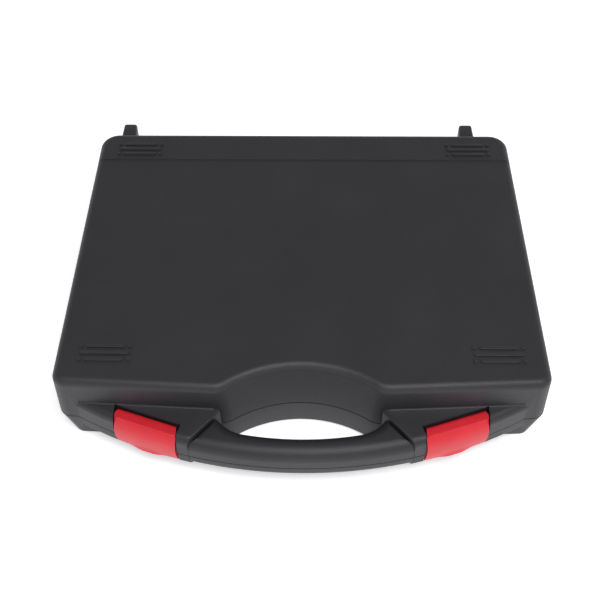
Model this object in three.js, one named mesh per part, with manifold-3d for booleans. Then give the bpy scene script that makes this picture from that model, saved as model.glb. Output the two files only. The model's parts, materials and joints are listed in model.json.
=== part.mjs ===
// Socket wrench set in a moulded carrying case, closed and lying flat.
// Millimetres, +Z up. Inside this file Y is measured from the front of the handle towards the
// hinges; the exported group moves the origin to the middle of the footprint, on the ground.

import * as THREE from 'three';
import { mergeVertices } from 'three/addons/utils/BufferGeometryUtils.js';
import Module from 'manifold-3d';

const wasm = await Module();
wasm.setup();

// ---------------------------------------------------------------- driving dimensions

const CASE_WIDTH = 279;
const CASE_DEPTH = 256;
const CASE_HEIGHT = 54.4;
const PARTING_Z = 19.5;
const GAP = 0.3;
const WALL = 2.5;

// Plan outline of the case body. An inset of 0 is the wall's outer face near the top of the lid.
const FLARE = { side: 1.6, recess: 1.2 }; // how far the draft moves these walls out at the parting
const AT_PARTING = [-FLARE.side, -FLARE.recess];
const SIDE_X = CASE_WIDTH / 2 - FLARE.side;
const REAR_Y = 240.3;
const RECESS = { y: -25.5, r: 70 };
const LIP_R = 15;
const FRONT_SLOPE = THREE.MathUtils.degToRad(2.85);
const FRONT_START = { x: 50, y: 29.2 };
const FRONT_CORNER_R = 8;
const REAR_CORNER_R = 12;

// Heights of the body.
const BAND_Z = CASE_HEIGHT - 0.8;
const PANEL_Z = CASE_HEIGHT - 1.3;
const LID_FILLET = 4.6;
const BASE_Z = 0.5;
const BASE_FILLET = 1.6;
const BASE_LEAN = { inset: 1.2, side: 2.8, recess: -2.2 }; // how far the walls lean in at the foot
const TONGUE_HEIGHT = 2;
const TONGUE_INSET = 1.4;

// Recessed panel and the grip ribs at its four corners.
const PANEL_Y = [65.2, 213.7];
const RIB = { x: 110.1, width: 2.2, pitch: 4.6, middle: 28.2, outer: 21.8, dot: 13.7, dotR: 1.1 };
const RIB_ROWS_Y = [53.2, 223.3];

// Front blocks and the fixed handle share one large front arc; the handle's rear arc is tighter.
const ARC = { y: 262.2, r: 262.2 };
const JOINT_REAR = new THREE.Vector2(45.3, 27.7);
const JOINT_FRONT = new THREE.Vector2(61.4, 8.8);
const BLOCK = { bottom: 9.5, top: 34.5, fillet: 4.5, endX: 130.5 };
const HANDLE = { bottom: 9.4, top: 32, fillet: 7, thickness: 14.2, rearR: 180, filletX: 32, cornerR: 23 };
const TENON = { length: 10, depth: 3.5, height: 7.5 };

// Latches, in their own frame: X along the latch, Y inward from its face.
const LATCH_ANGLE = THREE.MathUtils.degToRad(19);
const LATCH_CENTRE = { x: 86.4, y: 14.65 };
const LATCH = { half: 18.6, bottom: 13.2, top: 33.5, plate: 2.2, bulge: 0.8, plateDepth: 3.8 };
const LATCH_PIN = { y: 7.3, z: 31, r: 1.05, bore: 1.35, barrel: 2.4, length: 42.8, shift: 2.1 };
const BARREL = { inner: 17.3, outer: 20.5 }; // reach of the turning part on either side of the centre
const BAY = { half: 19.2, front: -5, lidRear: 10.3, baseRear: 6.2, reliefFront: 4.4, reliefBottom: 27.4 };
const BAY_TOP = BLOCK.top + 1;

// Rear hinges and the feet that stop the lid.
const HINGE = { y: CASE_DEPTH - 9.8, x: 80, r: 4.4, pin: 1.5, bore: 1.8, outer: 14, inner: 18, gap: 0.5 };
const FOOT = { leftX: -125.9, rightX: 106.3, width: 10.8, reach: 9.8 };

// Foam layers.
const FOAM_LOWER = { bottom: 3.3, top: 10.8, outline: [5.3, 2.8, -1.8] };
const FOAM_UPPER = { bottom: 11.1, top: 20, outline: [3.5, 1, -1.4] };
const FOAM_LID = { bottom: 36, shoulder: 46, top: 50.4, inset: 3.4, topInset: 7 };
const COMPARTMENT = { x: 90, y: 70, width: 64, depth: 44 };

// Tools, 3/8 inch drive.
const DRIVE = 9.5;
const DRIVE_HOLE = 9.9;
const SOCKET_LENGTH = 28;
const SOCKET_Z = 5.3;
const SOCKET_ROWS = [
  { sizes: [8, 9, 10, 11, 12, 13], y: 114, pitch: 30 },
  { sizes: [14, 15, 16, 17, 18, 19], y: 150, pitch: 38 },
];
const BARS = [
  { name: 'extension_bar_150', x: -120, length: 150 },
  { name: 'extension_bar_75', x: 44, length: 75 },
];
const BAR = { y: 184, z: 17, shaft: 5.6, neck: 6.2, female: 8.5, femaleLength: 20 };
const RATCHET = { x: -86, y: 214, z: 20, head: 16.5, bottom: 14.5, coverZ: 24.3, top: 25.5 };
const GEAR = { teeth: 36, r: 11.2, depth: 0.9, bottom: 16.8, top: 23.6, boss: 7.8, tip: 4 };
const LEVER = { x: 19.5, shaft: 2.4, swing: 32, top: 28.2 };
const GRIP = { start: 62, end: 176, core: 5.5 };

// ---------------------------------------------------------------- materials

const material = (metalness) => (color, roughness) => () =>
  new THREE.MeshStandardMaterial({ color, roughness, metalness });
const plastic = material(0);
const metal = material(1);
const CHARCOAL = plastic(0x3c3c41, 0.55);
const RED = plastic(0xe13237, 0.4);
const BLACK_FOAM = plastic(0x1d1d1f, 0.95);
const RED_FOAM = plastic(0xb3262b, 0.95);
const RUBBER = plastic(0x26262a, 0.7);
const CHROME = metal(0xd6d8da, 0.15);
const STEEL = metal(0x9a9b9e, 0.35);

// ---------------------------------------------------------------- geometry helpers

/** A closed three.js geometry as a solid that can be joined and cut. */
function solid(geometry) {
  const bare = geometry.clone();
  bare.deleteAttribute('normal');
  bare.deleteAttribute('uv');
  const merged = mergeVertices(bare);
  const corners = Array.from(merged.index.array);
  const triVerts = [];
  for (let i = 0; i < corners.length; i += 3) {
    const [a, b, c] = corners.slice(i, i + 3);
    if (a !== b && b !== c && c !== a) triVerts.push(a, b, c);
  }
  const mesh = new wasm.Mesh({
    numProp: 3,
    vertProperties: merged.attributes.position.array,
    triVerts: Uint32Array.from(triVerts),
  });
  return new wasm.Manifold(mesh);
}

const union = (...bodies) => bodies.flat().reduce((sum, body) => sum.add(body));
const cut = (body, ...tools) => tools.flat().reduce((rest, tool) => rest.subtract(tool), body);

/** The named mesh of one sub-part. */
function piece(name, body, material) {
  const { vertProperties, triVerts } = body.getMesh();
  const geometry = new THREE.BufferGeometry();
  geometry.setAttribute('position', new THREE.BufferAttribute(vertProperties, 3));
  geometry.setIndex(new THREE.BufferAttribute(triVerts, 1));
  geometry.computeVertexNormals();
  const mesh = new THREE.Mesh(geometry, material());
  mesh.name = name;
  return mesh;
}

/** Points along an arc, both ends included; angles in radians. */
function arc(x, y, r, from, to, steps) {
  return Array.from({ length: steps + 1 }, (_, i) => {
    const angle = from + ((to - from) * i) / steps;
    return new THREE.Vector2(x + r * Math.cos(angle), y + r * Math.sin(angle));
  });
}

/** A body through outlines of equal length, stacked upwards. */
function loft(levels) {
  const count = levels[0].outline.length;
  const last = (levels.length - 1) * count;
  const corners = levels.flatMap(({ z, outline }) => outline.flatMap(({ x, y }) => [x, y, z]));
  const index = [];
  for (let row = 0; row < last; row += count) {
    for (let i = 0; i < count; i += 1) {
      const here = row + i;
      const next = row + ((i + 1) % count);
      index.push(here, next, next + count, here, next + count, here + count);
    }
  }
  for (const [a, b, c] of THREE.ShapeUtils.triangulateShape(levels[0].outline, [])) index.push(a, c, b);
  for (const face of THREE.ShapeUtils.triangulateShape(levels.at(-1).outline, [])) {
    index.push(...face.map((corner) => last + corner));
  }
  const geometry = new THREE.BufferGeometry();
  geometry.setAttribute('position', new THREE.Float32BufferAttribute(corners, 3));
  geometry.setIndex(index);
  return solid(geometry);
}

/** An outline in X and Y, extruded from one height to another. */
function upright(outline, bottom, top) {
  const shape = new THREE.Shape(outline);
  const geometry = new THREE.ExtrudeGeometry(shape, { depth: top - bottom, bevelEnabled: false });
  return solid(geometry.translate(0, 0, bottom));
}

/** A profile in Y and Z, extruded along X. */
function alongX(profile, from, to) {
  const shape = new THREE.Shape(profile.map(([y, z]) => new THREE.Vector2(y, z)));
  const geometry = new THREE.ExtrudeGeometry(shape, { depth: to - from, bevelEnabled: false });
  const turn = new THREE.Matrix4().makeBasis(
    new THREE.Vector3(0, 1, 0),
    new THREE.Vector3(0, 0, 1),
    new THREE.Vector3(1, 0, 0),
  );
  return solid(geometry.applyMatrix4(turn).translate(from, 0, 0));
}

/** A box between two corners. */
function box([x0, y0, z0], [x1, y1, z1]) {
  const geometry = new THREE.BoxGeometry(x1 - x0, y1 - y0, z1 - z0);
  return solid(geometry.translate((x0 + x1) / 2, (y0 + y1) / 2, (z0 + z1) / 2));
}

/** A body turned about Z from [radius, height] points that start and end on the axis. */
function turned(profile, segments = 20) {
  const points = profile.map(([r, z]) => new THREE.Vector2(r, z));
  return solid(new THREE.LatheGeometry(points, segments).rotateX(Math.PI / 2));
}

/** The same, turned about X: the points are [radius, x]. */
function turnedX(profile, segments = 16) {
  const points = profile.map(([r, x]) => new THREE.Vector2(r, x));
  return solid(new THREE.LatheGeometry(points, segments).rotateZ(-Math.PI / 2));
}

const rod = (r, bottom, top, segments) => turned([[0, bottom], [r, bottom], [r, top], [0, top]], segments);
const rodX = (r, from, to, segments) => turnedX([[0, from], [r, from], [r, to], [0, to]], segments);

// ---------------------------------------------------------------- case body outline

const frontLineY = (x) => FRONT_START.y + (x - FRONT_START.x) * Math.tan(FRONT_SLOPE);

/** Centre of the rounding between the hand recess, of radius r, and the straight front wall. */
function lipCentre(r) {
  const start = frontLineY(0) + LIP_R / Math.cos(FRONT_SLOPE) - RECESS.y;
  const slope = Math.tan(FRONT_SLOPE);
  const reach = r + LIP_R;
  const a = 1 + slope ** 2;
  const b = start * slope;
  const x = (-b + Math.sqrt(b ** 2 - a * (start ** 2 - reach ** 2))) / a;
  return new THREE.Vector2(x, RECESS.y + start + slope * x);
}

/**
 * The body's outline in plan, counter-clockwise, moved inwards by an inset. The side walls and
 * the wall of the recess each move in by a further amount.
 */
function bodyOutline(inset, side = 0, recess = 0) {
  const r = RECESS.r + recess;
  const lip = lipCentre(r);
  const lipAngle = Math.atan2(lip.y - RECESS.y, lip.x);
  const down = -Math.PI / 2 + FRONT_SLOPE;
  const cornerX = SIDE_X - side - FRONT_CORNER_R;
  const cornerY = frontLineY(cornerX) + FRONT_CORNER_R / Math.cos(FRONT_SLOPE);
  const rearX = SIDE_X - side - REAR_CORNER_R;
  const half = [
    ...arc(0, RECESS.y, r + inset, Math.PI / 2, lipAngle, 4),
    ...arc(lip.x, lip.y, LIP_R - inset, lipAngle - Math.PI, down, 3).slice(1),
    ...arc(cornerX, cornerY, FRONT_CORNER_R - inset, down, 0, 3),
    ...arc(rearX, REAR_Y - REAR_CORNER_R, REAR_CORNER_R - inset, 0, Math.PI / 2, 4),
  ];
  const mirrored = half.slice(1).reverse().map(({ x, y }) => new THREE.Vector2(-x, y));
  return [...half, ...mirrored];
}

/** A body through levels of height, inset and further insets of the side and recess walls. */
const bodyLoft = (levels) =>
  loft(levels.map(([z, ...insets]) => ({ z, outline: bodyOutline(...insets) })));

/** Both signs of X. */
const bothSides = (make) => [make(-1), make(1)];

// ---------------------------------------------------------------- front blocks and handle

const arcAngle = (x, r) => -Math.PI / 2 + Math.asin(x / r);

/** Direction along which the handle's end face looks at the block. */
function jointNormal() {
  const along = JOINT_FRONT.clone().sub(JOINT_REAR).normalize();
  return new THREE.Vector2(-along.y, along.x);
}

/** Where the joint between handle and block, moved by an offset, leaves a circle. */
function jointCrossing(centre, r, offset) {
  const along = JOINT_FRONT.clone().sub(JOINT_REAR).normalize();
  const origin = JOINT_REAR.clone().addScaledVector(jointNormal(), offset);
  const from = origin.clone().sub(centre);
  const b = from.dot(along);
  const distance = -b + Math.sqrt(b ** 2 - from.lengthSq() + r ** 2);
  return origin.addScaledVector(along, distance);
}

const ARC_CENTRE = new THREE.Vector2(0, ARC.y);

/** An outline mirrored to the side asked for, still counter-clockwise. */
function onSide(outline, side) {
  if (side > 0) return outline;
  return outline.map(({ x, y }) => new THREE.Vector2(-x, y)).reverse();
}

function blockOutline(inset, side) {
  const r = ARC.r - inset;
  const front = jointCrossing(ARC_CENTRE, r, 0);
  const start = Math.atan2(front.y - ARC.y, front.x);
  const outline = [
    JOINT_REAR,
    ...arc(0, ARC.y, r, start, arcAngle(BLOCK.endX, ARC.r), 6),
    new THREE.Vector2(126, 44),
    new THREE.Vector2(49, 38),
  ];
  return onSide(outline, side);
}

function handleOutline(inset) {
  const { thickness, rearR, filletX, cornerR } = HANDLE;
  const outer = ARC.r - inset;
  const rearY = thickness + rearR;
  const tangent = arcAngle(filletX, rearR);
  const reach = rearR - cornerR;
  const corner = new THREE.Vector2(reach * Math.cos(tangent), rearY + reach * Math.sin(tangent));
  const front = jointCrossing(ARC_CENTRE, outer, -GAP);
  const rear = jointCrossing(corner, cornerR + inset, -GAP);
  const fillet = Math.atan2(rear.y - corner.y, rear.x - corner.x);
  const half = [
    ...arc(0, ARC.y, outer, -Math.PI / 2, Math.atan2(front.y - ARC.y, front.x), 5),
    ...arc(corner.x, corner.y, cornerR + inset, fillet, tangent, 4),
    ...arc(0, rearY, rearR + inset, tangent, -Math.PI / 2, 3).slice(1),
  ];
  const mirrored = half.slice(1, -1).reverse().map(({ x, y }) => new THREE.Vector2(-x, y));
  return [...half, ...mirrored];
}

/** A rectangle across the joint between handle and block. */
function acrossJoint(halfLength, from, to, side) {
  const middle = JOINT_REAR.clone().lerp(JOINT_FRONT, 0.5);
  const along = JOINT_FRONT.clone().sub(JOINT_REAR).normalize();
  const normal = jointNormal();
  const corner = (t, n) => middle.clone().addScaledVector(along, t).addScaledVector(normal, n);
  const outline = [
    corner(-halfLength, from),
    corner(halfLength, from),
    corner(halfLength, to),
    corner(-halfLength, to),
  ];
  return onSide(outline, side);
}

/** The open pocket that keeps a block's wall even, from the joint to behind the latch bay. */
function blockCore(side) {
  const outline = [[52.8, 28.6], [64.8, 14.6], [64.8, 21.9], [84, 28.6]];
  return onSide(outline.map(([x, y]) => new THREE.Vector2(x, y)), side);
}

const round45 = (r) => r * (1 - Math.SQRT1_2);

/** One half of a block, from the parting line to its rounded end. */
function blockHalf(side, sign) {
  const end = sign > 0 ? BLOCK.top : BLOCK.bottom;
  const levels = [
    [PARTING_Z + (sign * GAP) / 2, 0],
    [end - sign * BLOCK.fillet, 0],
    [end - sign * round45(BLOCK.fillet), round45(BLOCK.fillet)],
    [end, BLOCK.fillet],
  ];
  if (sign < 0) levels.reverse();
  return loft(levels.map(([z, inset]) => ({ z, outline: blockOutline(inset, side) })));
}

/** What is cut out of one block half: tenon pocket and core. */
function blockCuts(side, sign) {
  const tenonEnd = PARTING_Z + sign * (TENON.height + GAP);
  const coreEnd = sign > 0 ? BLOCK.top - WALL : BLOCK.bottom + WALL;
  const pocket = acrossJoint(TENON.length / 2 + GAP, -1, TENON.depth + GAP, side);
  const range = (end) => [Math.min(PARTING_Z, end), Math.max(PARTING_Z, end)];
  return [upright(pocket, ...range(tenonEnd)), upright(blockCore(side), ...range(coreEnd))];
}

function handleHalf(sign) {
  const end = sign > 0 ? HANDLE.top : HANDLE.bottom;
  const face = PARTING_Z + (sign * GAP) / 2;
  const levels = [
    [face, 0],
    [end - sign * HANDLE.fillet, 0],
    [end - sign * round45(HANDLE.fillet), round45(HANDLE.fillet)],
    [end, HANDLE.fillet - 1],
  ];
  const tenonEnd = PARTING_Z + sign * TENON.height;
  const channelEnd = end - sign * 2 * WALL;
  if (sign < 0) levels.reverse();
  const shape = loft(levels.map(([z, inset]) => ({ z, outline: handleOutline(inset) })));
  const tenons = bothSides((side) =>
    upright(
      acrossJoint(TENON.length / 2, -1, TENON.depth, side),
      Math.min(face, tenonEnd),
      Math.max(face, tenonEnd),
    ),
  );
  const spread = THREE.MathUtils.degToRad(9);
  const channel = [
    ...arc(0, ARC.y, ARC.r - WALL, -Math.PI / 2 - spread, -Math.PI / 2 + spread, 8),
    ...arc(0, ARC.y, ARC.r - HANDLE.thickness + WALL, -Math.PI / 2 + spread, -Math.PI / 2 - spread, 8),
  ];
  const hollow = upright(channel, Math.min(face - 1, channelEnd), Math.max(face + 1, channelEnd));
  return cut(union(shape, tenons), hollow);
}

// ---------------------------------------------------------------- latches

const toLatch = (side) =>
  new THREE.Matrix4()
    .makeTranslation(side * LATCH_CENTRE.x, LATCH_CENTRE.y, 0)
    .multiply(new THREE.Matrix4().makeRotationZ(side * LATCH_ANGLE));

/** Moves a solid from the latch's frame to its place on the case. */
const atLatch = (body, side) => body.transform(toLatch(side).toArray());

/** A block in the latch's frame whose ends are parallel to the sides of the case. */
function skewedBlock(side, half, rear, bottom, top) {
  const skew = side * Math.tan(LATCH_ANGLE);
  const corner = (x, y) => new THREE.Vector2(x + skew * y, y);
  const { front } = BAY;
  const outline = [corner(-half, front), corner(half, front), corner(half, rear), corner(-half, rear)];
  return upright(outline, bottom, top);
}

/** The bay around a latch. */
const latchBay = (side, rear, bottom, top) =>
  atLatch(skewedBlock(side, BAY.half, rear, bottom, top), side);

/** Room behind the pin, at the end towards the handle, for the flange of the open latch. */
function bayRelief(side) {
  const { half, lidRear, reliefFront, reliefBottom } = BAY;
  const wall = half - Math.tan(LATCH_ANGLE) * reliefFront;
  const outline = [[-wall, reliefFront], [0, reliefFront], [0, lidRear], [-wall, lidRear]];
  const points = outline.map(([x, y]) => new THREE.Vector2(x, y));
  return atLatch(upright(onSide(points, side), reliefBottom, BAY_TOP), side);
}

/** X range of the part of a latch that turns inside its bay. */
const barrelRange = (side) =>
  side > 0 ? [-BARREL.inner, BARREL.outer] : [-BARREL.outer, BARREL.inner];

function pinRod(r, length, side) {
  const middle = side * LATCH_PIN.shift;
  const pin = rodX(r, middle - length / 2, middle + length / 2, 12);
  return atLatch(pin.translate([0, LATCH_PIN.y, LATCH_PIN.z]), side);
}

function latch(side) {
  const { bottom, top, plate, bulge, plateDepth } = LATCH;
  const innerTop = top - plate;
  const face = [
    [0.2, bottom],
    [-0.7 * bulge, bottom + 4],
    [-bulge, bottom + 8],
    [-0.5 * bulge, bottom + 12.5],
    [0.7, bottom + 16],
    [2, bottom + 18.4],
    [plateDepth, top - 0.15],
    [plateDepth, innerTop],
    [plate, innerTop - 2.8],
    [plate, bottom],
  ].reverse();
  const flange = [
    [plateDepth - 0.5, innerTop],
    [LATCH_PIN.y, innerTop - 1],
    [LATCH_PIN.y, top],
    [3.4, top - 0.2],
  ];
  const hook = [[plate - 0.5, 15], [4, 15], [4, 16.5], [plate - 0.5, 17.2]];
  const lip = [[-1.4, bottom], [0.6, bottom], [0.6, bottom + 4], [-0.5, bottom + 4], [-1.1, bottom + 1.5]];
  const barrel = barrelRange(side);
  const body = union(
    alongX(face, -LATCH.half - 2, LATCH.half + 2),
    alongX(flange, ...barrel),
    rodX(LATCH_PIN.barrel, ...barrel, 14).translate([0, LATCH_PIN.y, LATCH_PIN.z]),
    alongX(hook, -12, 12),
    alongX(lip, -9, 9),
  );
  const outer = skewedBlock(side, LATCH.half, BAY.lidRear, 0, CASE_HEIGHT);
  const bore = rodX(LATCH_PIN.bore, -30, 30, 14).translate([0, LATCH_PIN.y, LATCH_PIN.z]);
  return atLatch(cut(body.intersect(outer), bore), side);
}

/** The rib in the base that the latch's hook snaps under. */
const catchRib = (side) => atLatch(box([-12, 4.2, 16.5], [12, BAY.baseRear + 0.5, 19.2]), side);

// ---------------------------------------------------------------- hinges and feet

const hingeSpan = 2 * HINGE.outer + HINGE.inner + 2 * HINGE.gap;

/** Knuckles of one shell on one hinge, with the webs that join them to the wall. */
function knuckles(side, sign) {
  const edge = hingeSpan / 2;
  const ranges = sign > 0
    ? [[-HINGE.inner / 2, HINGE.inner / 2]]
    : [[-edge, -edge + HINGE.outer], [edge - HINGE.outer, edge]];
  const web = [[-7, sign * 0.3], [0, sign * 0.3], [0, sign * HINGE.r], [-7, sign * HINGE.r]];
  if (sign < 0) web.reverse();
  return ranges.map(([from, to]) =>
    union(rodX(HINGE.r, from, to, 20), alongX(web, from, to))
      .translate([side * HINGE.x, HINGE.y, PARTING_Z]),
  );
}

const hingeRod = (r, length, side) =>
  rodX(r, -length / 2, length / 2, 14).translate([side * HINGE.x, HINGE.y, PARTING_Z]);

/** Foot profiles in Y and Z from the hinge axis. The notch between them stops the lid. */
const { reach: footReach } = FOOT;
const LID_FOOT = [[-7, 0.3], [0, 0.3], [footReach, 13.8], [footReach, 28], [7.8, 30], [-7, 30]];
const BASE_FOOT = [[-9, -18.7], [8.5, -18.7], [footReach, -17.5], [footReach, -13.8], [0, -0.3], [-9, -0.3]];

function foot(profile, side) {
  const from = side > 0 ? FOOT.rightX : FOOT.leftX;
  return alongX(profile, from, from + FOOT.width).translate([0, HINGE.y, PARTING_Z]);
}

// ---------------------------------------------------------------- shells

/** The grip ribs and dots of one corner of the lid. */
function ribGroup(side, rowY) {
  const base = BAND_Z - 0.5;
  const middle = side * RIB.x;
  return [-1, 0, 1].flatMap((row) => {
    const y = rowY + row * RIB.pitch;
    const half = (row === 0 ? RIB.middle : RIB.outer) / 2;
    const rib = box(
      [middle - half, y - RIB.width / 2, base],
      [middle + half, y + RIB.width / 2, CASE_HEIGHT],
    );
    if (row === 0) return [rib];
    const dots = bothSides((end) =>
      rod(RIB.dotR, base, CASE_HEIGHT, 8).translate([middle + end * RIB.dot, y, 0]),
    );
    return [rib, ...dots];
  });
}

function upperShell() {
  const filletStart = BAND_Z - LID_FILLET;
  const outside = bodyLoft([
    [PARTING_Z + GAP / 2, 0, ...AT_PARTING],
    [filletStart, 0],
    [filletStart + LID_FILLET * 0.5, round45(LID_FILLET) * 0.46],
    [BAND_Z - round45(LID_FILLET), round45(LID_FILLET)],
    [BAND_Z, LID_FILLET],
  ]);
  const innerTop = PANEL_Z - WALL + 0.1;
  const cavity = bodyLoft([
    [PARTING_Z - 1, WALL, ...AT_PARTING],
    [innerTop - LID_FILLET, WALL],
    [innerTop, WALL + 4],
  ]);
  const rebate = bodyLoft([
    [PARTING_Z - 1, TONGUE_INSET - GAP, ...AT_PARTING],
    [PARTING_Z + TONGUE_HEIGHT + GAP, TONGUE_INSET - GAP, ...AT_PARTING],
  ]);
  const panel = box([-CASE_WIDTH, PANEL_Y[0], PANEL_Z], [CASE_WIDTH, PANEL_Y[1], CASE_HEIGHT + 1]);
  const added = bothSides((side) => [
    blockHalf(side, 1),
    ...knuckles(side, 1),
    foot(LID_FOOT, side),
  ]).flat();
  const removed = bothSides((side) => [
    latchBay(side, BAY.lidRear, PARTING_Z - 1, BAY_TOP),
    bayRelief(side),
    pinRod(LATCH_PIN.bore, LATCH_PIN.length + 2 * GAP, side),
    hingeRod(HINGE.bore, hingeSpan + 2, side),
    ...blockCuts(side, 1),
  ]).flat();
  const shell = cut(union(outside, added), cavity, rebate, removed, panel);
  const ribs = RIB_ROWS_Y.flatMap((rowY) => bothSides((side) => ribGroup(side, rowY)).flat());
  return piece('upper_shell', union(shell, ribs), CHARCOAL);
}

function lowerShell() {
  const { inset, side: sideLean, recess } = BASE_LEAN;
  const outside = bodyLoft([
    [BASE_Z, inset + BASE_FILLET, sideLean, recess],
    [BASE_Z + round45(BASE_FILLET), inset + round45(BASE_FILLET), sideLean, recess],
    [BASE_Z + BASE_FILLET, inset, sideLean, recess],
    [PARTING_Z - GAP / 2, 0, ...AT_PARTING],
  ]);
  const tongue = bodyLoft([
    [PARTING_Z - 1, TONGUE_INSET, ...AT_PARTING],
    [PARTING_Z + TONGUE_HEIGHT, TONGUE_INSET, ...AT_PARTING],
  ]);
  const cavity = bodyLoft([
    [BASE_Z + WALL, inset + WALL + 1.5, sideLean, recess],
    [BASE_Z + WALL + 2, inset + WALL, sideLean - 0.4, recess + 0.1],
    [PARTING_Z, WALL, ...AT_PARTING],
    [PARTING_Z + TONGUE_HEIGHT + 1, WALL, ...AT_PARTING],
  ]);
  const pads = bothSides((side) =>
    RIB_ROWS_Y.map((y) => {
      const x = side * (RIB.x - 2);
      return box([x - 13.5, y - 5.5, 0], [x + 13.5, y + 5.5, BASE_Z + 1]);
    }),
  ).flat();
  const added = bothSides((side) => [
    blockHalf(side, -1),
    ...knuckles(side, -1),
    foot(BASE_FOOT, side),
  ]).flat();
  const removed = bothSides((side) => [
    latchBay(side, BAY.baseRear, BLOCK.bottom - 2, PARTING_Z + 1),
    hingeRod(HINGE.bore, hingeSpan + 2, side),
    ...blockCuts(side, -1),
  ]).flat();
  const shell = cut(union(outside, tongue, pads, added), cavity, removed);
  return piece('lower_shell', union(shell, bothSides(catchRib)), CHARCOAL);
}

const SIDE_NAMES = new Map([[-1, 'left'], [1, 'right']]);

function caseFittings() {
  return bothSides((side) => {
    const name = SIDE_NAMES.get(side);
    return [
      piece(`latch_${name}`, latch(side), RED),
      piece(`latch_pin_${name}`, pinRod(LATCH_PIN.r, LATCH_PIN.length, side), STEEL),
      piece(`hinge_pin_${name}`, hingeRod(HINGE.pin, hingeSpan, side), STEEL),
    ];
  }).flat();
}

// ---------------------------------------------------------------- sockets and extension bars

/** Outside diameters of a socket: at its hex mouth and at its drive end. */
function socketDiameters(size) {
  const mouth = 1.2 * size + 3;
  return { mouth, drive: Math.max(17, mouth) };
}

const polygon = (sides, flatToFlat) =>
  arc(0, 0, flatToFlat / 2 / Math.cos(Math.PI / sides), Math.PI / sides, 2 * Math.PI + Math.PI / sides, sides)
    .slice(0, sides);

function socket(size) {
  const { mouth, drive } = socketDiameters(size);
  const outer = drive / 2;
  const tip = mouth / 2;
  const edge = 0.6;
  const shape = turned([
    [0, 0],
    [outer - edge, 0],
    [outer, edge],
    [outer, 12.5],
    [tip, 15.5],
    [tip, SOCKET_LENGTH - edge],
    [tip - edge, SOCKET_LENGTH],
    [0, SOCKET_LENGTH],
  ], 18);
  const square = upright(polygon(4, DRIVE_HOLE), -1, 11);
  const hex = upright(polygon(6, size + 0.15), 15, SOCKET_LENGTH + 1);
  const bore = rod(Math.min(size, DRIVE_HOLE) / 2 - 0.6, -1, SOCKET_LENGTH + 1, 12);
  return cut(shape, square, hex, bore);
}

const socketX = ({ sizes, pitch }, i) => (i - (sizes.length - 1) / 2) * pitch;

function sockets() {
  return SOCKET_ROWS.flatMap((row) =>
    row.sizes.map((size, i) => {
      const mesh = piece(`socket_${size}mm`, socket(size), CHROME);
      mesh.position.set(socketX(row, i), row.y, SOCKET_Z);
      return mesh;
    }),
  );
}

function extensionBar({ name, x, length }) {
  const { shaft, neck, female, femaleLength } = BAR;
  const shape = turnedX([
    [0, 0],
    [female - 0.6, 0],
    [female, 0.6],
    [female, femaleLength - 3],
    [neck, femaleLength],
    [shaft, femaleLength + 3],
    [shaft, length - 22],
    [neck, length - 19],
    [neck, length - 12],
    [0, length - 12],
  ]);
  const half = DRIVE / 2;
  const hole = DRIVE_HOLE / 2;
  const square = box([length - 14, -half, -half], [length, half, half]);
  const socketHole = box([-1, -hole, -hole], [11, hole, hole]);
  const mesh = piece(name, cut(union(shape, square), socketHole), CHROME);
  mesh.position.set(x, BAR.y, BAR.z);
  return mesh;
}

// ---------------------------------------------------------------- ratchet

/** Pear-shaped head outline, widening from the neck. */
function headOutline(r, neckX, neckHalf) {
  const open = Math.PI / 4.2;
  return [
    ...arc(0, 0, r, open, 2 * Math.PI - open, 18),
    new THREE.Vector2(neckX, -neckHalf),
    new THREE.Vector2(neckX, neckHalf),
  ];
}

function ratchetBody() {
  const { z, head, bottom, coverZ } = RATCHET;
  const gearTop = coverZ - GAP;
  const shape = union(
    upright(headOutline(head, 34, 7), bottom, gearTop),
    box([30, -6, z - 4.5], [GRIP.start + 2, 6, z + 4]),
    rodX(GRIP.core, GRIP.start, GRIP.end - 10, 14).translate([0, 0, z]),
  );
  return cut(
    shape,
    rod(GEAR.r + 0.5, GEAR.bottom - GAP, gearTop + 1, 28),
    rod(GEAR.boss + GAP, bottom - 1, gearTop, 24),
    box([9, -6.6, GEAR.bottom - GAP], [25.5, 6.6, gearTop + 1]),
    bothSides((side) => rod(1.3, bottom + 3, gearTop + 1, 10).translate([screwX, side * screwY, 0])),
  );
}

const screwX = -7.8;
const screwY = 11.6;

function ratchetCover() {
  const { head, coverZ, top } = RATCHET;
  return cut(
    upright(headOutline(head - 0.6, 31, 7), coverZ, top),
    rod(4.9, coverZ - 1, top + 1, 18),
    rod(LEVER.shaft + GAP, coverZ - 1, top + 1, 14).translate([LEVER.x, 0, 0]),
    bothSides((side) => rod(1.3, coverZ - 1, top + 1, 10).translate([screwX, side * screwY, 0])),
  );
}

function coverScrew(side) {
  const { bottom, top } = RATCHET;
  const shaftEnd = bottom + 4;
  const seat = top + 0.2;
  const profile = [[0, shaftEnd], [1, shaftEnd], [1, seat], [2.2, seat], [1.8, top + 1.1], [0, top + 1.3]];
  const head = turned(profile, 12);
  const slot = box([-3, -0.3, top + 0.8], [3, 0.3, top + 2]);
  return cut(head, slot).translate([screwX, side * screwY, 0]);
}

function driveGear() {
  const { teeth, r, depth, bottom, top, boss, tip } = GEAR;
  const outline = Array.from({ length: 2 * teeth }, (_, i) => {
    const angle = (i * Math.PI) / teeth;
    const radius = i % 2 ? r - depth : r;
    return new THREE.Vector2(radius * Math.cos(angle), radius * Math.sin(angle));
  });
  const half = DRIVE / 2;
  const edge = 0.8;
  const square = (z, inset) => ({ z, outline: polygon(4, 2 * (half - inset)) });
  const shape = union(
    upright(outline, bottom, top),
    rod(boss, RATCHET.bottom - 0.5, bottom + 1, 24),
    loft([square(tip, edge), square(tip + edge, 0), square(RATCHET.bottom, 0)]),
  );
  return cut(shape, rod(2.4, tip + 2, top + 1, 12));
}

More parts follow.
